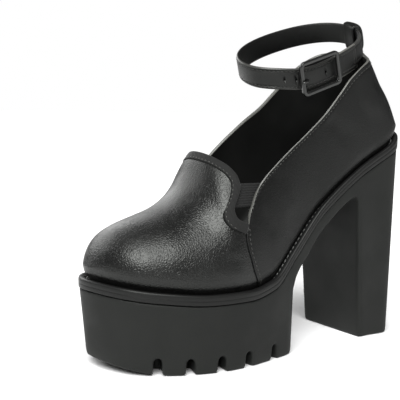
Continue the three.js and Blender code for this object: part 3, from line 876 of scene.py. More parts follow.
def crossing_faces(solid, ids, axis):
    """Faces between the four cells round each crossed edge that runs along an axis."""
    shape = solid.shape
    others = [n for n in range(3) if n != axis]
    first = [slice(1, n - 1) for n in shape]
    first[axis] = slice(0, shape[axis] - 1)
    second = list(first)
    second[axis] = slice(1, shape[axis])
    a, b = solid[tuple(first)], solid[tuple(second)]
    spot = np.argwhere(a != b)
    spot[:, others] += 1
    quad = []
    for du, dv in ((-1, -1), (0, -1), (0, 0), (-1, 0)):
        cell_at = spot.copy()
        cell_at[:, others] += (du, dv)
        quad.append(ids[tuple(cell_at.T)])
    quad = np.stack(quad, -1)
    flip = a[a != b] != (axis == 1)
    return np.where(flip[:, None], quad, quad[:, ::-1])


def mesh_field(field, low, high, cell):
    """Points and faces of the surface where the field is zero, inside a box."""
    axes = [np.arange(a, b + cell, cell) for a, b in zip(low, high)]
    x, s, z = np.meshgrid(*axes, indexing="ij", sparse=True)
    shape = tuple(len(a) for a in axes)
    value = np.broadcast_to(field(np.broadcast_to(x, shape), np.broadcast_to(s, shape),
                                  np.broadcast_to(z, shape)), shape)
    value = np.where(value == 0, 1e-6, value)
    solid = value < 0
    cells = tuple(n - 1 for n in shape)
    total, count = crossing_points(value, cells)
    used = count > 0
    ids = np.full(cells, -1, np.int64)
    ids[used] = np.arange(used.sum())
    where = np.argwhere(used) + total[used] / count[used][:, None]
    points = where * cell + np.array([a[0] for a in axes])
    return points, np.concatenate([crossing_faces(solid, ids, axis) for axis in range(3)])


ball = mesh_field(lambda x, y, z: np.sqrt(x * x + y * y + z * z) - 2, (-3,) * 3, (3,) * 3, 1.0)
print("a ball of radius 2 has", len(ball[1]), "faces")

# %% Sole unit
SOLE_BOX = (-48, -2.5, -2.5), (50, 228, 138)


def make_sole():
    points, faces = mesh_field(sole_field, *SOLE_BOX, SOLE_CELL)
    return make_piece("sole_unit_moulding", points, faces, [sole_rubber],
                      replaces=["sole_unit"])


sole = make_sole()
print("sole stands at", round(min(v.co.z for v in sole.data.vertices) / MM, 2), "mm")

# %% [markdown]
# ## Welt
#
# The welt is a moulded strip round the whole feather line: a raised rim outside, then a channel with
# a row of thick grey stitches, then a flange that goes under the upper. At the heel the rim kicks up.
# A curve with a bevel profile would be quick, but its section can't grow taller at the heel. So it is
# one cross-section of inset and height share, carried round the rim curve one place at a time. Two
# fine lines run along its outer face, as moulded strips have.

# %% Welt and its stitches
WELT_PROFILE = [(.2, 0), (.1, .05), (.04, .3), (.03, .42), (.17, .46), (.03, .5), (0, .66),
                (.02, .82), (.22, .94), (.8, 1), (1.7, 1.02), (2.6, 1), (3.05, .95), (3.3, .86),
                (3.5, .64), (3.9, .54), (4.6, .52), (5.4, .56), (5.9, .6), (5.9, 0)]
WELT_PLACES = 560
CHANNEL_IN, CHANNEL_DOWN = 4.5, .42


def welt_foot(s):
    return seat(s) + 1.5 * GAP


def make_welt():
    loops = []
    for k in np.linspace(0, 2 * HALF, WELT_PLACES, endpoint=False):
        s = float(rim(k)[2])
        foot, top = welt_foot(s), rim_top(s)
        loops.append([(*rim(k, inset)[:2], foot + (top - foot) * up) for inset, up in WELT_PROFILE])
    points, faces = loft(loops, ring=True)
    welt = make_piece("welt_strip", points, faces, [welt_rubber],
                      replaces=["welt"])
    k = np.linspace(0, 2 * HALF, 1200)
    x, y, s = rim(k, CHANNEL_IN)
    z = rim_top(s) - (rim_top(s) - seat(s) - 1.5 * GAP) * CHANNEL_DOWN
    stitches("welt_stitches", np.stack([x, y, z], -1), np.tile([0, 0, 1.0], (len(k), 1)),
             "welt", grey_thread, sink=.1)
    return tidy_mesh(welt)


make_welt()

# %% [markdown]
# ## Vamp and tongue
#
# The vamp is lasted leather: it starts flat and is pulled over the last, so it is one smooth
# skin from the toe to the tongue's top, with its grain side out and a lining inside. Cloth
# could be pulled over a last too, but it would end as the last's own surface, so the grid is
# laid there at once. Its rows run from the toe to the panel line, and the first column is sewn
# shut at the toe tip. Behind the side seams it dips and goes under the quarter. Leather that
# has been lasted by hand keeps a few soft creases and swellings near the seams, each one placed
# here by a line along its middle.

# %% Soft creases in the leather
# station and height of both ends, width, and depth, which is below 0 for a swelling
VAMP_SLACK = [(78, 64, 62, 66, 2.6, .35), (80, 56, 60, 58, 2.4, -.22), (68, 88, 60, 80, 3, .3),
              (60, 93, 50, 82, 3.2, -.2)]
QUARTER_SLACK = [(97, 92, 104, 76, 4, .5), (112, 104, 120, 88, 5, -.35),
                 (150, 146, 170, 132, 6, .4), (178, 160, 196, 150, 5, -.3),
                 (186, 172, 204, 166, 4, .35)]


def soft_step(x, low, high):
    t = np.clip((x - low) / (high - low), 0, 1)
    return t * t * (3 - 2 * t)


def slack_depth(p, lines):
    """How far the leather sinks at points near the given lines."""
    total = np.zeros(p.shape[:-1])
    for s0, z0, s1, z1, width, depth in lines:
        ds, dz = s1 - s0, z1 - z0
        t = ((p[..., 1] - s0) * ds + (p[..., 2] - z0) * dz) / (ds * ds + dz * dz)
        off = np.hypot(p[..., 1] - s0 - t * ds, p[..., 2] - z0 - t * dz)
        ends = soft_step(t, -.25, .3) * (1 - soft_step(t, .7, 1.25))
        total += depth * ends * np.exp(-(off / width) ** 2)
    return total


print(len(VAMP_SLACK) + len(QUARTER_SLACK), "soft creases and swellings")

# %% Vamp
VAMP_HALF_ROWS, VAMP_COLUMNS = 91, 120
VAMP_THICK = 1.5
SEAM_TOP = 84.4
UNDERLAP, UNDER_DIP = 5.0, .45
SLACK_FROM_MIDDLE = 6


def vamp_rows():
    """Side and height share of rows up the outer side, over the ridge and down the inner."""
    up = np.linspace(0, 1, VAMP_HALF_ROWS)
    side = np.concatenate([np.ones(VAMP_HALF_ROWS), -np.ones(VAMP_HALF_ROWS - 1)])
    return side, np.concatenate([up, up[-2::-1]])


def make_vamp():
    row_side, row_h = vamp_rows()
    edge = row_meets(VAMP_BACK, row_side, row_h)
    end_z = last(edge, row_side, row_h, 0)[..., 2]
    lap = UNDERLAP * (1 - soft_step(end_z, SEAM_TOP - 3, SEAM_TOP))
    edge = row_meets(VAMP_BACK, row_side, row_h, extra=lap)
    k = edge[:, None] * np.linspace(0, 1, VAMP_COLUMNS)
    side, h = row_side[:, None], row_h[:, None]
    base = last(k, side, h, 0)
    under = soft_step(base[..., 1] - line_s(VAMP_BACK, base[..., 2]), -.8, 1.2)
    dip = UNDER_DIP * under * (1 - soft_step(base[..., 2], SEAM_TOP - 3, SEAM_TOP))
    dip = dip + slack_depth(base, VAMP_SLACK) * (base[..., 0] * side > SLACK_FROM_MIDDLE)
    points, faces, which = sheet(last(k, side, h, dip), last(k, side, h, dip + VAMP_THICK), True)
    # The vamp's edge faces take the light grey painted edge highlight.
    vamp = make_piece("vamp", points, faces, [tumbled_vamp_leather, lining_leather, grey_edge_highlight],
                      which, ["upper"])
    return tidy_mesh(vamp)


make_vamp()

# %% [markdown]
# ## Quarter
#
# One quarter panel wraps the whole back of the foot. It lies on top of the vamp at both side seams,
# where its front edge is skived thin, and its top line is folded and rolled, so the edge is round,
# and its light grey colour is a painted highlight along that edge. The stitches below that line pull
# a shallow groove. A grid straight up and down would be cut to steps by the slanting seam, so this
# one follows the panel: columns lean with the seam at the front and stand up towards the heel.

# %% Grid of the quarter
QUARTER_ROWS, QUARTER_COLUMNS, ROWS_CROWD = 52, 330, 1.25
QUARTER_PLACES = np.linspace(4.7, 6.6, 260)
PROUD = .6


def seam_places(side, w):
    """Place k where the vamp's back edge is, at a share w of the way up to the top line."""
    k = QUARTER_PLACES
    h = w[:, None] * top_share(k, side)
    p = last(k, side, h, 0)
    return first_crossing(p[..., 1] - line_s(VAMP_BACK, p[..., 2]), k)


def quarter_grid(w, columns):
    """Ring place, side and height share of a grid over the quarter."""
    front, back = seam_places(1, w), 2 * HALF - seam_places(-1, w)
    place = front[None] + (back - front)[None] * np.linspace(0, 1, columns)[:, None]
    side = np.where(place <= HALF, 1, -1)
    k = np.where(place <= HALF, place, 2 * HALF - place)
    return k, side, w[None] * top_share(k, side)


print("seam leans from place", seam_places(1, np.array([0, .9])).round(2))

# %% Quarter
SKIVE_WIDTH, SKIVED = 7.0, .15
TOP_STITCH_IN, SEAM_STITCH_IN = 2.6, 1.9
GROOVE_DEPTH, GROOVE_HALF = .28, .55
SLACK_BELOW_TOP = 3, 9


def make_quarter():
    w = 1 - (1 - np.linspace(0, 1, QUARTER_ROWS)) ** ROWS_CROWD
    k, side, h = quarter_grid(w, QUARTER_COLUMNS)
    base = last(k, side, h, 0)
    behind = base[..., 1] - line_s(VAMP_BACK, np.minimum(base[..., 2], SEAM_TOP))
    lap = (1 - soft_step(behind, SKIVE_WIDTH, SKIVE_WIDTH + 3)) * (
        1 - soft_step(base[..., 2], SEAM_TOP, SEAM_TOP + 6))
    inner = WALL * (1 - lap) + SKIVED * lap
    step = np.linalg.norm(np.diff(base[:, ::-1], axis=1), axis=-1)
    fall = np.cumsum(np.pad(step, ((0, 0), (1, 0))), axis=1)[:, ::-1]
    slack = slack_depth(base, QUARTER_SLACK) * soft_step(fall, *SLACK_BELOW_TOP)
    inner = inner + slack
    outer = slack - PROUD + GROOVE_DEPTH * np.exp(-((fall - TOP_STITCH_IN) / GROOVE_HALF) ** 2)
    points, faces, which = sheet(last(k, side, h, outer), last(k, side, h, inner))
    # Edge faces above the seam top take the light grey painted edge highlight; those below stay
    # leather.
    border = np.flatnonzero(which == 2)
    low = [n for n in border if np.mean([points[i][2] for i in faces[n]]) < SEAM_TOP]
    which[low] = 0
    quarter = make_piece("quarter", points, faces, [plated_quarter_leather, lining_leather,
                         grey_edge_highlight], which)
    return tidy_mesh(quarter)


make_quarter()

# %% [markdown]
# ### Stitches of the quarter
#
# The quarter has one row of stitches along its top line, which holds leather and lining
# together, and one behind each side seam, which holds it to the vamp. Both could follow a row of
# the grid, but the rows crowd and spread, so they are offset from their edge by a real distance,
# measured along the leather, as a sewing machine's guide does it.

# %% Quarter stitches
TOP_LINE_SKIP, SEAM_FOOT_SKIP, SEAM_TOP_SKIP = 4, 20, 6


def offset_rows(grid, distance):
    """On each row of points, the place at a distance from the row's start."""
    step = np.linalg.norm(np.diff(grid, axis=1), axis=-1)
    arc = np.concatenate([np.zeros((len(grid), 1)), np.cumsum(step, axis=1)], axis=1)
    return np.stack([[np.interp(distance, a, g[:, n]) for n in range(3)]
                     for a, g in zip(arc, grid)])


def surface_normals(grid):
    """Directions square to a grid, turned away from its middle."""
    normal = unit(np.cross(np.gradient(grid, axis=1), np.gradient(grid, axis=0)))
    centre = grid.mean(axis=(0, 1))
    return normal if ((grid - centre) * normal).sum() > 0 else -normal


def make_quarter_stitches():
    w = np.linspace(0, 1, 160)
    k, side, h = quarter_grid(w, 420)
    grid = last(k, side, h, -PROUD)
    normals = surface_normals(grid)
    top = offset_rows(grid[:, ::-1], TOP_STITCH_IN)
    kept = slice(TOP_LINE_SKIP, -TOP_LINE_SKIP)
    stitches("top_line_stitches", top[kept], normals[kept, -8], "seam", sheen_painted_black_thread)
    kept = slice(SEAM_FOOT_SKIP, -SEAM_TOP_SKIP)
    for name, start in (("outer", 0), ("inner", -1)):
        rows = grid.transpose(1, 0, 2)[:, ::-1] if start else grid.transpose(1, 0, 2)
        line = offset_rows(rows, SEAM_STITCH_IN)
        stitches(f"{name}_seam_stitches", line[kept], normals[start][kept], "seam",
                 sheen_painted_black_thread)


make_quarter_stitches()

# %% [markdown]
# ## Binding
#
# The tongue's raw edge is covered with grosgrain tape that folds over it and is sewn through
# both faces. A bevelled curve could make the tape, but its two edges follow two different lines.
# So it is a flattened U whose points are shares of the way between them. Low on each side it widens
# to fill the bottom of the slot and ends under the quarter's front edge. The faces at its inner edge
# take a near-black painted shadow, the shade in the seam beside it, so that the tape looks laid on.

# %% Binding
# share of the way from the inner line to the edge, depth, and how far beyond the edge
BINDING_PROFILE = [(0, .15, 0), (0, -.2, 0), (.04, -.4, 0), (.1, -.5, 0), (.7, -.55, 0),
                   (.95, -.5, 0), (1, -.35, .35), (1, .1, .6), (1, .8, .7), (1, 1.4, .6),
                   (1, 1.9, .35), (.92, 2.1, 0), (.5, 2.1, 0), (.2, 2.05, 0), (.2, 1.6, 0),
                   (.6, 1.0, 0), (.3, .6, 0)]
BINDING_LOOPS, BINDING_FOOT = 130, 78.9
BINDING_STITCH_SHARE, BINDING_STITCH_DEPTH, BINDING_SKIP = .2, -.55, 6
# Profile points whose faces are painted near black as the seam's shadow.
SEAM_SHADOW_POINTS = (0, 1, 2, len(BINDING_PROFILE) - 1)


def binding_rows():
    """Side, height share, and the places of the tape's inner line and of the edge."""
    h = np.concatenate([np.linspace(.1, 1, BINDING_LOOPS), np.linspace(1, .1, BINDING_LOOPS)[1:]])
    side = np.concatenate([np.ones(BINDING_LOOPS), -np.ones(BINDING_LOOPS - 1)])
    start, end = row_meets(BINDING_LINE, side, h), row_meets(VAMP_BACK, side, h)
    z = last(end, side, h, 0)[..., 2]
    keep = (z > BINDING_FOOT) & (end > start)
    return side[keep], h[keep], start[keep], end[keep]


def make_binding():
    side, h, start, end = binding_rows()
    loops = []
    edge_z = last(end, side, h, 0)[..., 2]
    wrap = soft_step(edge_z, SEAM_TOP - .5, SEAM_TOP + 2)
    for share, depth, beyond in BINDING_PROFILE:
        k = start + (end - start) * share
        point = last(k, side, h, depth)
        out = unit(last(end, side, h, depth) - last(end - .03, side, h, depth))
        loops.append(point + out * (beyond * wrap)[:, None])
    loops = np.stack(loops, 1)
    points, faces = loft(loops)
    # Faces at the binding's inner edge get the painted seam shadow.
    which = np.zeros(len(faces), int)
    places_round = np.arange(len(faces) - 2) % len(BINDING_PROFILE)
    which[:-2] = np.isin(places_round, SEAM_SHADOW_POINTS)
    binding = make_piece("tongue_binding", points, faces, [grosgrain_binding, seam_shadow],
                         which)
    k = start + (end - start) * BINDING_STITCH_SHARE
    middle = last(k, side, h, BINDING_STITCH_DEPTH)
    normal = unit(middle - last(k, side, h, 2))
    kept = slice(BINDING_SKIP, -BINDING_SKIP)
    stitches("binding_stitches", middle[kept], normal[kept], "binding", glint_painted_binding_thread,
             sink=.1)
    return tidy_mesh(binding)


make_binding()

# %% [markdown]
# ## Elastic gores
#
# A strip of ribbed elastic behind each slot joins tongue and quarter, so the shoe can be pulled
# on. Its covered rubber cords run from one to the other, and they stand out as ribs. A bump
# could draw them, but they show in outline at the slot, so the sheet's own rows rise and fall.

# %% Gores
RIB_PITCH, RIB_HEIGHT, RIB_FULLNESS = 1.45, .5, .6
GORE = {"low": 94.2, "high": 107.3, "front": 4.75, "back": 6.05, "depth": 2.15, "thick": 1.1}
GORE_ROWS, GORE_COLUMNS = 40, 91


def height_share(k, z, depth):
    """The share h at which the last reaches a height."""
    s = rim(k)[2]
    wide = rim_top(s) + BULGE_HEIGHT
    top = column(LAST, "ridge", s) - depth
    sine = np.clip((z - wide) / (top - wide), 0, 1) ** (column(LAST, "round", s) / 2)
    return TUCK_SHARE + (1 - TUCK_SHARE) * np.arcsin(sine) * 2 / math.pi


def make_gore(name, side, node):
    k = np.linspace(GORE["front"], GORE["back"], GORE_ROWS)[:, None]
    z = np.linspace(GORE["low"], GORE["high"], GORE_COLUMNS)[None, :]
    rib = .5 - .5 * np.cos((z - GORE["low"]) / RIB_PITCH * 2 * math.pi)
    rib = RIB_HEIGHT * rib ** RIB_FULLNESS
    h = height_share(k, z, GORE["depth"])
    outer = last(k, side, h, GORE["depth"] + RIB_HEIGHT - rib)
    inner = last(k, side, h, GORE["depth"] + GORE["thick"])
    points, faces, which = sheet(outer, inner)
    return tidy_mesh(make_piece(name, points, faces, [ribbed_elastic],
                                replaces=[node]))


for name, side, node in (("outer_gore", 1, "gore_lateral"), ("inner_gore", -1, "gore_medial")):
    make_gore(name, side, node)

# %% [markdown]
# ## Insole
#
# The insole sock is thin leather over board and foam, so its face is a little dished and its
# edge is soft where it meets the wall. A flat plate would do, as little of it shows, but the
# light inside the shoe falls along the dish.

# %% Insole
SOCK_INSET = WELT_WIDTH + 2 * GAP + WALL
SOCK_THICK, SOCK_DISH = 2.6, .5
SOCK_START, SOCK_END = .35, HALF - .12
SOCK_ROWS, SOCK_COLUMNS = 150, 41


def make_insole():
    k = np.linspace(SOCK_START, SOCK_END, SOCK_ROWS)[:, None]
    share = np.linspace(-1, 1, SOCK_COLUMNS)[None, :]
    (lx, ly, s), (mx, my, _) = rim(k, SOCK_INSET), rim(-k, SOCK_INSET)
    x, y = (lx + mx) / 2 + (lx - mx) / 2 * share, (ly + my) / 2 + (ly - my) / 2 * share
    low = seat(s) + 2 * GAP + 0 * share
    high = low + SOCK_THICK + SOCK_DISH * share ** 2 - SOCK_DISH * share ** 12
    points, faces, which = sheet(np.stack([x, y, high], -1), np.stack([x, y, low], -1))
    return tidy_mesh(make_piece("insole_sock", points, faces, [lining_leather],
                                replaces=["insole"]))


make_insole()

# %% [markdown]
# ## Ankle strap
#
# The strap is a folded band: leather turned over a core, with both edges round and painted a lighter
# grey as the highlight along them, and a pressed line beside them where the stitches sit. It hangs as
# a tilted oval that drops at the buckle. A curve object with a flat bevel would twist on a tilted
# oval, so every place round it gets its own along, up and out directions, and all that sits on the
# strap uses them too. Turn 0 is at the front, .25 on the outer side and .5 at the heel.

# %% Strap frame
STRAP = {"s": 151.2, "half_length": 46, "half_width": 26.8, "top": 193.6, "pitch": .306,
         "roll": -.357, "droop": 3, "droop_at": .21, "droop_over": .07, "square": 2.185,
         "width": 13.6, "thick": 2.2}
BAND_UP = unit(np.array([.1, -STRAP["pitch"], 1]))


def strap_place(turn):
    """A point of the strap's top edge."""
    a = turn * 2 * math.pi
    power = 2 / STRAP["square"]
    x = STRAP["half_width"] * math.copysign(abs(math.sin(a)) ** power, math.sin(a))
    y = -STRAP["half_length"] * math.copysign(abs(math.cos(a)) ** power, math.cos(a))
    droop = STRAP["droop"] * math.exp(-((turn - STRAP["droop_at"]) / STRAP["droop_over"]) ** 2)
    return np.array([x, STRAP["s"] + y, STRAP["top"] + STRAP["pitch"] * y + STRAP["roll"] * x
                     - droop])


def strap_frame(turn):
    """Middle of the strap's outer face, and the directions along it and out of it."""
    along = unit(strap_place(turn + .004) - strap_place(turn - .004))
    out = unit(np.cross(along, BAND_UP))
    return strap_place(turn) - BAND_UP * STRAP["width"] / 2, along, out


def on_strap(turn, up, out, along=0.0):
    """A point by how far it is from that middle: up, out and along."""
    middle, forward, outward = strap_frame(turn)
    return middle + forward * along + BAND_UP * up + outward * out


oval = np.array([strap_place(t) for t in np.linspace(0, 1, 200)])
print("strap is", round(float(np.linalg.norm(np.diff(oval, axis=0), axis=1).sum())), "mm round")

# %% Section of the band
CREASE_IN = 1.9


def band_profile(half, thick, crease):
    """Half-round edges with a shallow pressed line beside them, on the outer face."""
    outer = [(half - r, d) for r, d in ((.35, -.35), (.9, -.06), (1.5, 0), (crease - .4, -.03),
             (crease, -.3), (crease + .4, -.03), (crease + 1.2, .05))]
    upper = [(half, -thick * .5), (half - .1, -thick * .28)] + outer
    face = upper + [(-u, d) for u, d in upper[::-1]]
    back = [(-half + .1, -thick * .72), (-half + .5, -thick * .95), (-half + 1.2, -thick),
            (half - 1.2, -thick), (half - .5, -thick * .95), (half - .1, -thick * .72)]
    return face + back


def highlighted_sides(profile):
    """Which sides of the section lie on the round edges, towards the outer face, and are painted a
    lighter grey as their highlight.
    """
    limit = STRAP["width"] / 2 - 1
    return [min(abs(u), abs(v)) > limit and max(d, e) < 0 and min(d, e) > -STRAP["thick"] * .6
            for (u, d), (v, e) in zip(profile, profile[1:] + profile[:1])]


band = band_profile(STRAP["width"] / 2, STRAP["thick"], CREASE_IN)
# The sides counted as burnished are the ones painted a lighter grey as the edge highlight.
print(len(band), "points round the band,", sum(highlighted_sides(band)), "sides burnished")

# %% [markdown]
# ### Punched holes
#
# A hole is punched through the outer leather and stops at the core, so there is a dark floor in
# it. A dark disc laid on would have no wall for the light to catch. So a small cylinder cuts the
# band with a Boolean modifier, whose result is kept as the new mesh.

# %% Strap band and its holes
STRAP_TURNS, STRAP_LINE_PLACES = 300, 500
HOLE_TURNS = (.14, .171, .2444)
HOLE_RADIUS, HOLE_DEPTH, HOLE_SIDES, PUNCH_REACH = .75, 1.6, 20, 4


def make_strap():
    loops = [[on_strap(i / STRAP_TURNS, up, out) for up, out in band] for i in range(STRAP_TURNS)]
    points, faces = loft(loops, ring=True)
    # The band's round edges take a darker grey painted highlight.
    strap = tidy_mesh(make_piece("ankle_strap_band", points, faces,
                                 [turned_strap_leather, strap_edge_highlight],
                                 np.tile(highlighted_sides(band), STRAP_TURNS).astype(int),
                                 ["ankle_strap"]))
    for turn in HOLE_TURNS:
        punch(strap, turn)
    turns = np.linspace(0, 1, STRAP_LINE_PLACES)
    for name, side in (("upper", 1), ("lower", -1)):
        up = side * (STRAP["width"] / 2 - CREASE_IN)
        line = np.array([on_strap(t, up, -.12) for t in turns])
        normal = np.array([strap_frame(t)[2] for t in turns])
        stitches(f"strap_{name}_stitches", line, normal, "strap", sheen_painted_black_thread)
    return strap


def punch(strap, turn):
    """Cuts a round hole through the band's outer leather, down to its core."""
    angles = np.arange(HOLE_SIDES) * 2 * math.pi / HOLE_SIDES
    loops = [[on_strap(turn, HOLE_RADIUS * math.cos(a), out, HOLE_RADIUS * math.sin(a))
              for a in angles] for out in (-HOLE_DEPTH, PUNCH_REACH)]
    points, faces = loft(loops)
    mesh = bpy.data.meshes.new("punch")
    mesh.from_pydata((points + SHIFT) * MM, [], faces)
    tool = tidy_mesh(into_scene("punch", mesh))
    cut = strap.modifiers.new("punch", "BOOLEAN")
    cut.object = tool
    cut.operation = "DIFFERENCE"
    cut.solver = "EXACT"
    bpy.context.view_layer.update()
    solid = strap.evaluated_get(bpy.context.evaluated_depsgraph_get())
    cut_mesh = bpy.data.meshes.new_from_object(solid)
    strap.modifiers.clear()
    strap.data = cut_mesh
    bpy.data.objects.remove(tool)


make_strap()

# %% [markdown]
# ## Buckle
#
# The frame is a cast bar, nearly square in section with soft corners, bent into a rounded
# rectangle. A bevelled cube with a hole would have the shape, but not the even bar, so a small
# section is carried round the rectangle. The strap comes up through it from the toe side, and
# the pin's tip comes out of a hole and rests on that bar. The fixed end of the strap folds round
# the other bar and is stitched to itself as a square tab.

# %% Buckle frame
BUCKLE = {"at": .228, "length": 31, "height": 21.6, "rise": 1, "bar": 2.5, "corner": 3.6,
          "lift": .8, "bar_round": .75}
CORNER_STEPS = 8


def bar_section(width, radius, steps=3):
    """Corners of a rounded square, from 0 to width both ways."""
    loop = []
    for cx, cy, start in ((width - radius, width - radius, 0), (radius, width - radius, 90),
                          (radius, radius, 180), (width - radius, radius, 270)):
        for i in range(steps + 1):
            a = math.radians(start + 90 * i / steps)
            loop.append((cx + radius * math.cos(a), cy + radius * math.sin(a)))
    return loop


def make_frame():
    x, y = BUCKLE["length"] / 2 - BUCKLE["corner"], BUCKLE["height"] / 2 - BUCKLE["corner"]
    path = []
    for cx, cy, start in ((x, y, 0), (-x, y, 90), (-x, -y, 180), (x, -y, 270)):
        for i in range(CORNER_STEPS + 1):
            a = math.radians(start + 90 * i / CORNER_STEPS)
            path.append((cx, cy, math.cos(a), math.sin(a)))
    section = bar_section(BUCKLE["bar"], BUCKLE["bar_round"])
    loops = [[on_strap(BUCKLE["at"], BUCKLE["rise"] + cy + (BUCKLE["corner"] - inset) * s,
                       BUCKLE["lift"] + out,
                       cx + (BUCKLE["corner"] - inset) * c) for inset, out in section]
             for cx, cy, c, s in path]
    points, faces = loft(loops, ring=True)
    return tidy_mesh(make_piece("buckle_frame_bar", points, faces, [black_enamel],
                                replaces=["buckle_frame"]))


make_frame()

# %% Pin
# along the strap, out of it, and half the thickness
PIN_PATH = [(-16.6, 4.15, .55), (-15.6, 4.55, .8), (-14.2, 4.6, .9), (-12.6, 4.3, .9),
            (-11.4, 3.3, .9), (-10.6, 1.6, .9), (-10.3, -.4, .9), (-10.1, -2.2, .9)]


def make_pin():
    path = np.array(PIN_PATH)[:, :2]
    along = unit(np.gradient(path, axis=0))
    turn = np.arange(12) * math.pi / 6
    loops = []
    for (a, o, fat), (da, do) in zip(PIN_PATH, along):
        loops.append([on_strap(BUCKLE["at"], fat * math.cos(t), o + fat * math.sin(t) * da,
                               a - fat * math.sin(t) * do) for t in turn])
    points, faces = loft(loops)
    return tidy_mesh(make_piece("buckle_pin", points, faces, [black_enamel],
                                replaces=["buckle_prong"]))


make_pin()

# %% Tab and its stitches
TAB = {"from": .274, "to": .33, "width": 14.4, "thick": 1.7, "crease_in": 1.8, "crease": .16,
       "crease_half": .4}


def make_tab():
    turns = np.linspace(TAB["from"], TAB["to"], 40)
    ups = np.linspace(-TAB["width"] / 2, TAB["width"] / 2, 25)
    edge = np.abs(ups) - (TAB["width"] / 2 - TAB["crease_in"])
    dent = -TAB["crease"] * np.exp(-(edge / TAB["crease_half"]) ** 2)
    grid = lambda out: np.array([[on_strap(t, u, o) for u, o in zip(ups, out)] for t in turns])
    outer, inner = grid(GAP + TAB["thick"] + dent), grid(np.full(len(ups), GAP))
    points, faces, which = sheet(outer, inner)
    # The tab's edge faces take the light grey painted edge highlight.
    tab = make_piece("strap_tab", points, faces, [turned_strap_leather, turned_strap_leather,
                     grey_edge_highlight], which, ["strap_fold"])
    u, t0, t1 = TAB["width"] / 2 - TAB["crease_in"], TAB["from"] + .004, TAB["to"] - .008
    route = [(t, u) for t in np.linspace(t0, t1, 30)] + [(t1, v) for v in np.linspace(u, -u, 20)]
    route += [(t, -u) for t in np.linspace(t1, t0, 30)]
    line = np.array([on_strap(t, v, GAP + TAB["thick"] - .05) for t, v in route])
    normal = np.array([strap_frame(t)[2] for t, _ in route])
    stitches("tab_stitches", line, normal, "tab", sheen_painted_black_thread)
    return tidy_mesh(tab)


make_tab()

# %% [markdown]
# ## Back loop
#
# A keeper of the same leather holds the strap at the heel. It is a band bent round the strap
# and sewn into the heel's back, arched a little outwards, with faint ribs across it. A torus
# would be too round inside, so its section is a D: flat on the inner side, where it lies on the
# lining, and full on the outer. It is a tube with a wall, closed at both ends by a flat edge.

# %% Back loop
LOOP = {"reach": .026, "thick": 1.5, "slack": .5, "arch": 3.2, "rib": .12}
LOOP_COLUMNS, LOOP_SIDES = 22, 40


def loop_ring(share, grow):
    """The D-shaped section at a share of the loop's reach, grown outwards."""
    half = STRAP["width"] / 2 + LOOP["slack"] + grow
    outer, inner = LOOP["slack"] + grow, -STRAP["thick"] - LOOP["slack"] - grow
    swell = LOOP["arch"] * (1 - .5 * share ** 2)
    ring = []
    for a in np.arange(LOOP_SIDES) * math.pi / (LOOP_SIDES // 2):
        up, out = math.sin(a), math.cos(a)
        power = .7 if out > 0 else .4
        up, bent = [math.copysign(abs(v) ** power, v) for v in (up, out)]
        ring.append((half * up, (outer + inner) / 2 + (outer - inner) / 2 * bent
                     + swell * max(out, 0) ** .6))
    return [on_strap(.5 + LOOP["reach"] * share, up, out) for up, out in ring]


def make_loop():
    shares = np.linspace(-1, 1, LOOP_COLUMNS)
    rib = LOOP["rib"] * np.cos(np.arange(LOOP_COLUMNS) * math.pi)
    outer = np.array([loop_ring(s, LOOP["thick"] + r) for s, r in zip(shares, rib)])
    inner = np.array([loop_ring(s, 0) for s in shares])
    count, size = outer.shape[:2]
    wrap = lambda g: np.concatenate([g, g[:, :1]], axis=1)
    o, n = wrap(outer), wrap(inner)
    faces = np.concatenate([grid_faces(count, size + 1), grid_faces(count, size + 1,
                            count * (size + 1), True)]).tolist()
    total = count * (size + 1)
    for row, flip in ((0, False), (count - 1, True)):
        for j in range(size):
            a = row * (size + 1) + j
            quad = (a, a + total, a + 1 + total, a + 1)
            faces.append(quad[::-1] if flip else quad)
    points = np.concatenate([o.reshape(-1, 3), n.reshape(-1, 3)])
    return tidy_mesh(make_piece("heel_loop", points, faces, [turned_strap_leather],
                                replaces=["strap_loop"]))


make_loop()

# %% Tail of the loop
TAIL = {"s": 197.8, "low": 184, "high": 193.6, "half": 4.4, "half_thick": .7}


def make_tail():
    """The loop's ends, sewn flat inside the heel's back wall."""
    across = np.linspace(-TAIL["half"], TAIL["half"], 13)[:, None]
    z = np.linspace(TAIL["low"], TAIL["high"], 20)[None, :]
    x, z = np.broadcast_arrays(across, z)
    outer, inner = (np.stack([x, np.full(x.shape, TAIL["s"] + back), z], -1)
                    for back in (TAIL["half_thick"], -TAIL["half_thick"]))
    points, faces, which = sheet(outer, inner)
    return tidy_mesh(make_piece("heel_loop_tail", points, faces, [turned_strap_leather]))


make_tail()

# %% [markdown]
# ## Floor and light
#
# Black leather is drawn by what it reflects. A wide scrim high in front of the outer side is the
# key: it whitens the floor and lays the soft band of glints along the vamp's shoulder. It is a
# sun lamp with a wide angle, since an area lamp near the shoe would leave the floor's far edge
# grey. A far softbox on the inner side draws the tops of toe and tongue, and a small low one on
# the outer side, behind the heel, lifts the heel and the quarter. The room itself is dim, so that
# faces turned away stay black, and the camera sees it as plain white paper, lit or not.

# %% Floor
FLOOR_SIZE, FLOOR_POINTS = 40.0, 9


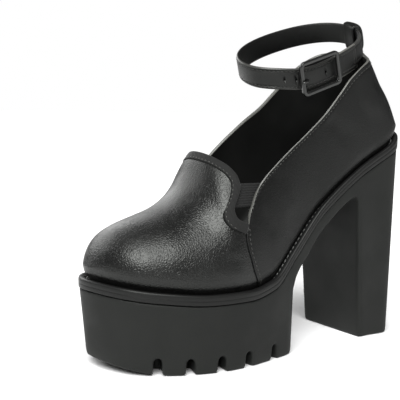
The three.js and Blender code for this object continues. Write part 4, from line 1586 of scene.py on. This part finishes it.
def make_floor():
    steps = np.linspace(-FLOOR_SIZE, FLOOR_SIZE, FLOOR_POINTS)
    points = [(x, y, 0) for y in steps for x in steps]
    mesh = bpy.data.meshes.new("studio_floor")
    mesh.from_pydata(points, [], grid_faces(FLOOR_POINTS, FLOOR_POINTS, flip=True).tolist())
    material, tree, shader = finish("pale_paper", "#fbfbfb", Roughness=.95, IOR=1.3)
    fibre = add(tree, "ShaderNodeTexNoise", {"Vector": places(tree), "Scale": per_mm(6)})
    bump(tree, shader, fibre.outputs["Fac"], .02)
    mesh.materials.append(material)
    into_scene("studio_floor", mesh)
    print("floor is", 2 * FLOOR_SIZE, "m wide")


make_floor()


# %% Lights
def softbox(name, place, target, size, brightness):
    """A rectangular light of a given brightness, 1 being white paper in full light."""
    light = bpy.data.lights.new(name, "AREA")
    light.shape = "RECTANGLE"
    light.size, light.size_y = size
    light.energy = brightness * size[0] * size[1] * math.pi
    obj = into_scene(name, light)
    obj.location = Vector(place)
    obj.rotation_euler = (Vector(target) - Vector(place)).to_track_quat("-Z", "Y").to_euler()


def key_light(name, toward, width, strength):
    """A far light behind a wide scrim: its width is an angle, so the floor is lit evenly."""
    light = bpy.data.lights.new(name, "SUN")
    light.angle = math.radians(width)
    light.energy = strength
    obj = into_scene(name, light)
    obj.rotation_euler = Vector(toward).to_track_quat("Z", "Y").to_euler()


key_light("scrim_key", (.52, -.42, .74), 44, 4.5)
softbox("far_softbox", (-1.4, -.3, .85), (0, -.05, .08), (1.7, .8), 3.8)
softbox("side_softbox", (1.1, .9, .15), (0, .09, .06), (.25, .5), 1.0)
print("lights:", [light.name for light in bpy.data.lights])


# %% Room
def room(seen, lit):
    """The world: how bright the camera sees it, and how much it lights the shoe."""
    world = bpy.data.worlds.new("white_room")
    world.use_nodes = True
    tree = world.node_tree
    tree.nodes["Background"].inputs["Color"].default_value = (1, 1, 1, 1)
    tree.nodes["Background"].inputs["Strength"].default_value = lit
    paper = add(tree, "ShaderNodeBackground", {"Color": (1, 1, 1, 1), "Strength": seen})
    eye = add(tree, "ShaderNodeLightPath")
    mix = add(tree, "ShaderNodeMixShader", {0: eye.outputs["Is Camera Ray"],
              1: tree.nodes["Background"].outputs[0], 2: paper.outputs[0]})
    tree.links.new(mix.outputs[0], tree.nodes["World Output"].inputs["Surface"])
    bpy.context.scene.world = world


room(1.0, .13)
bpy.context.scene.view_settings.view_transform = "Standard"
print("world:", bpy.context.scene.world.name)
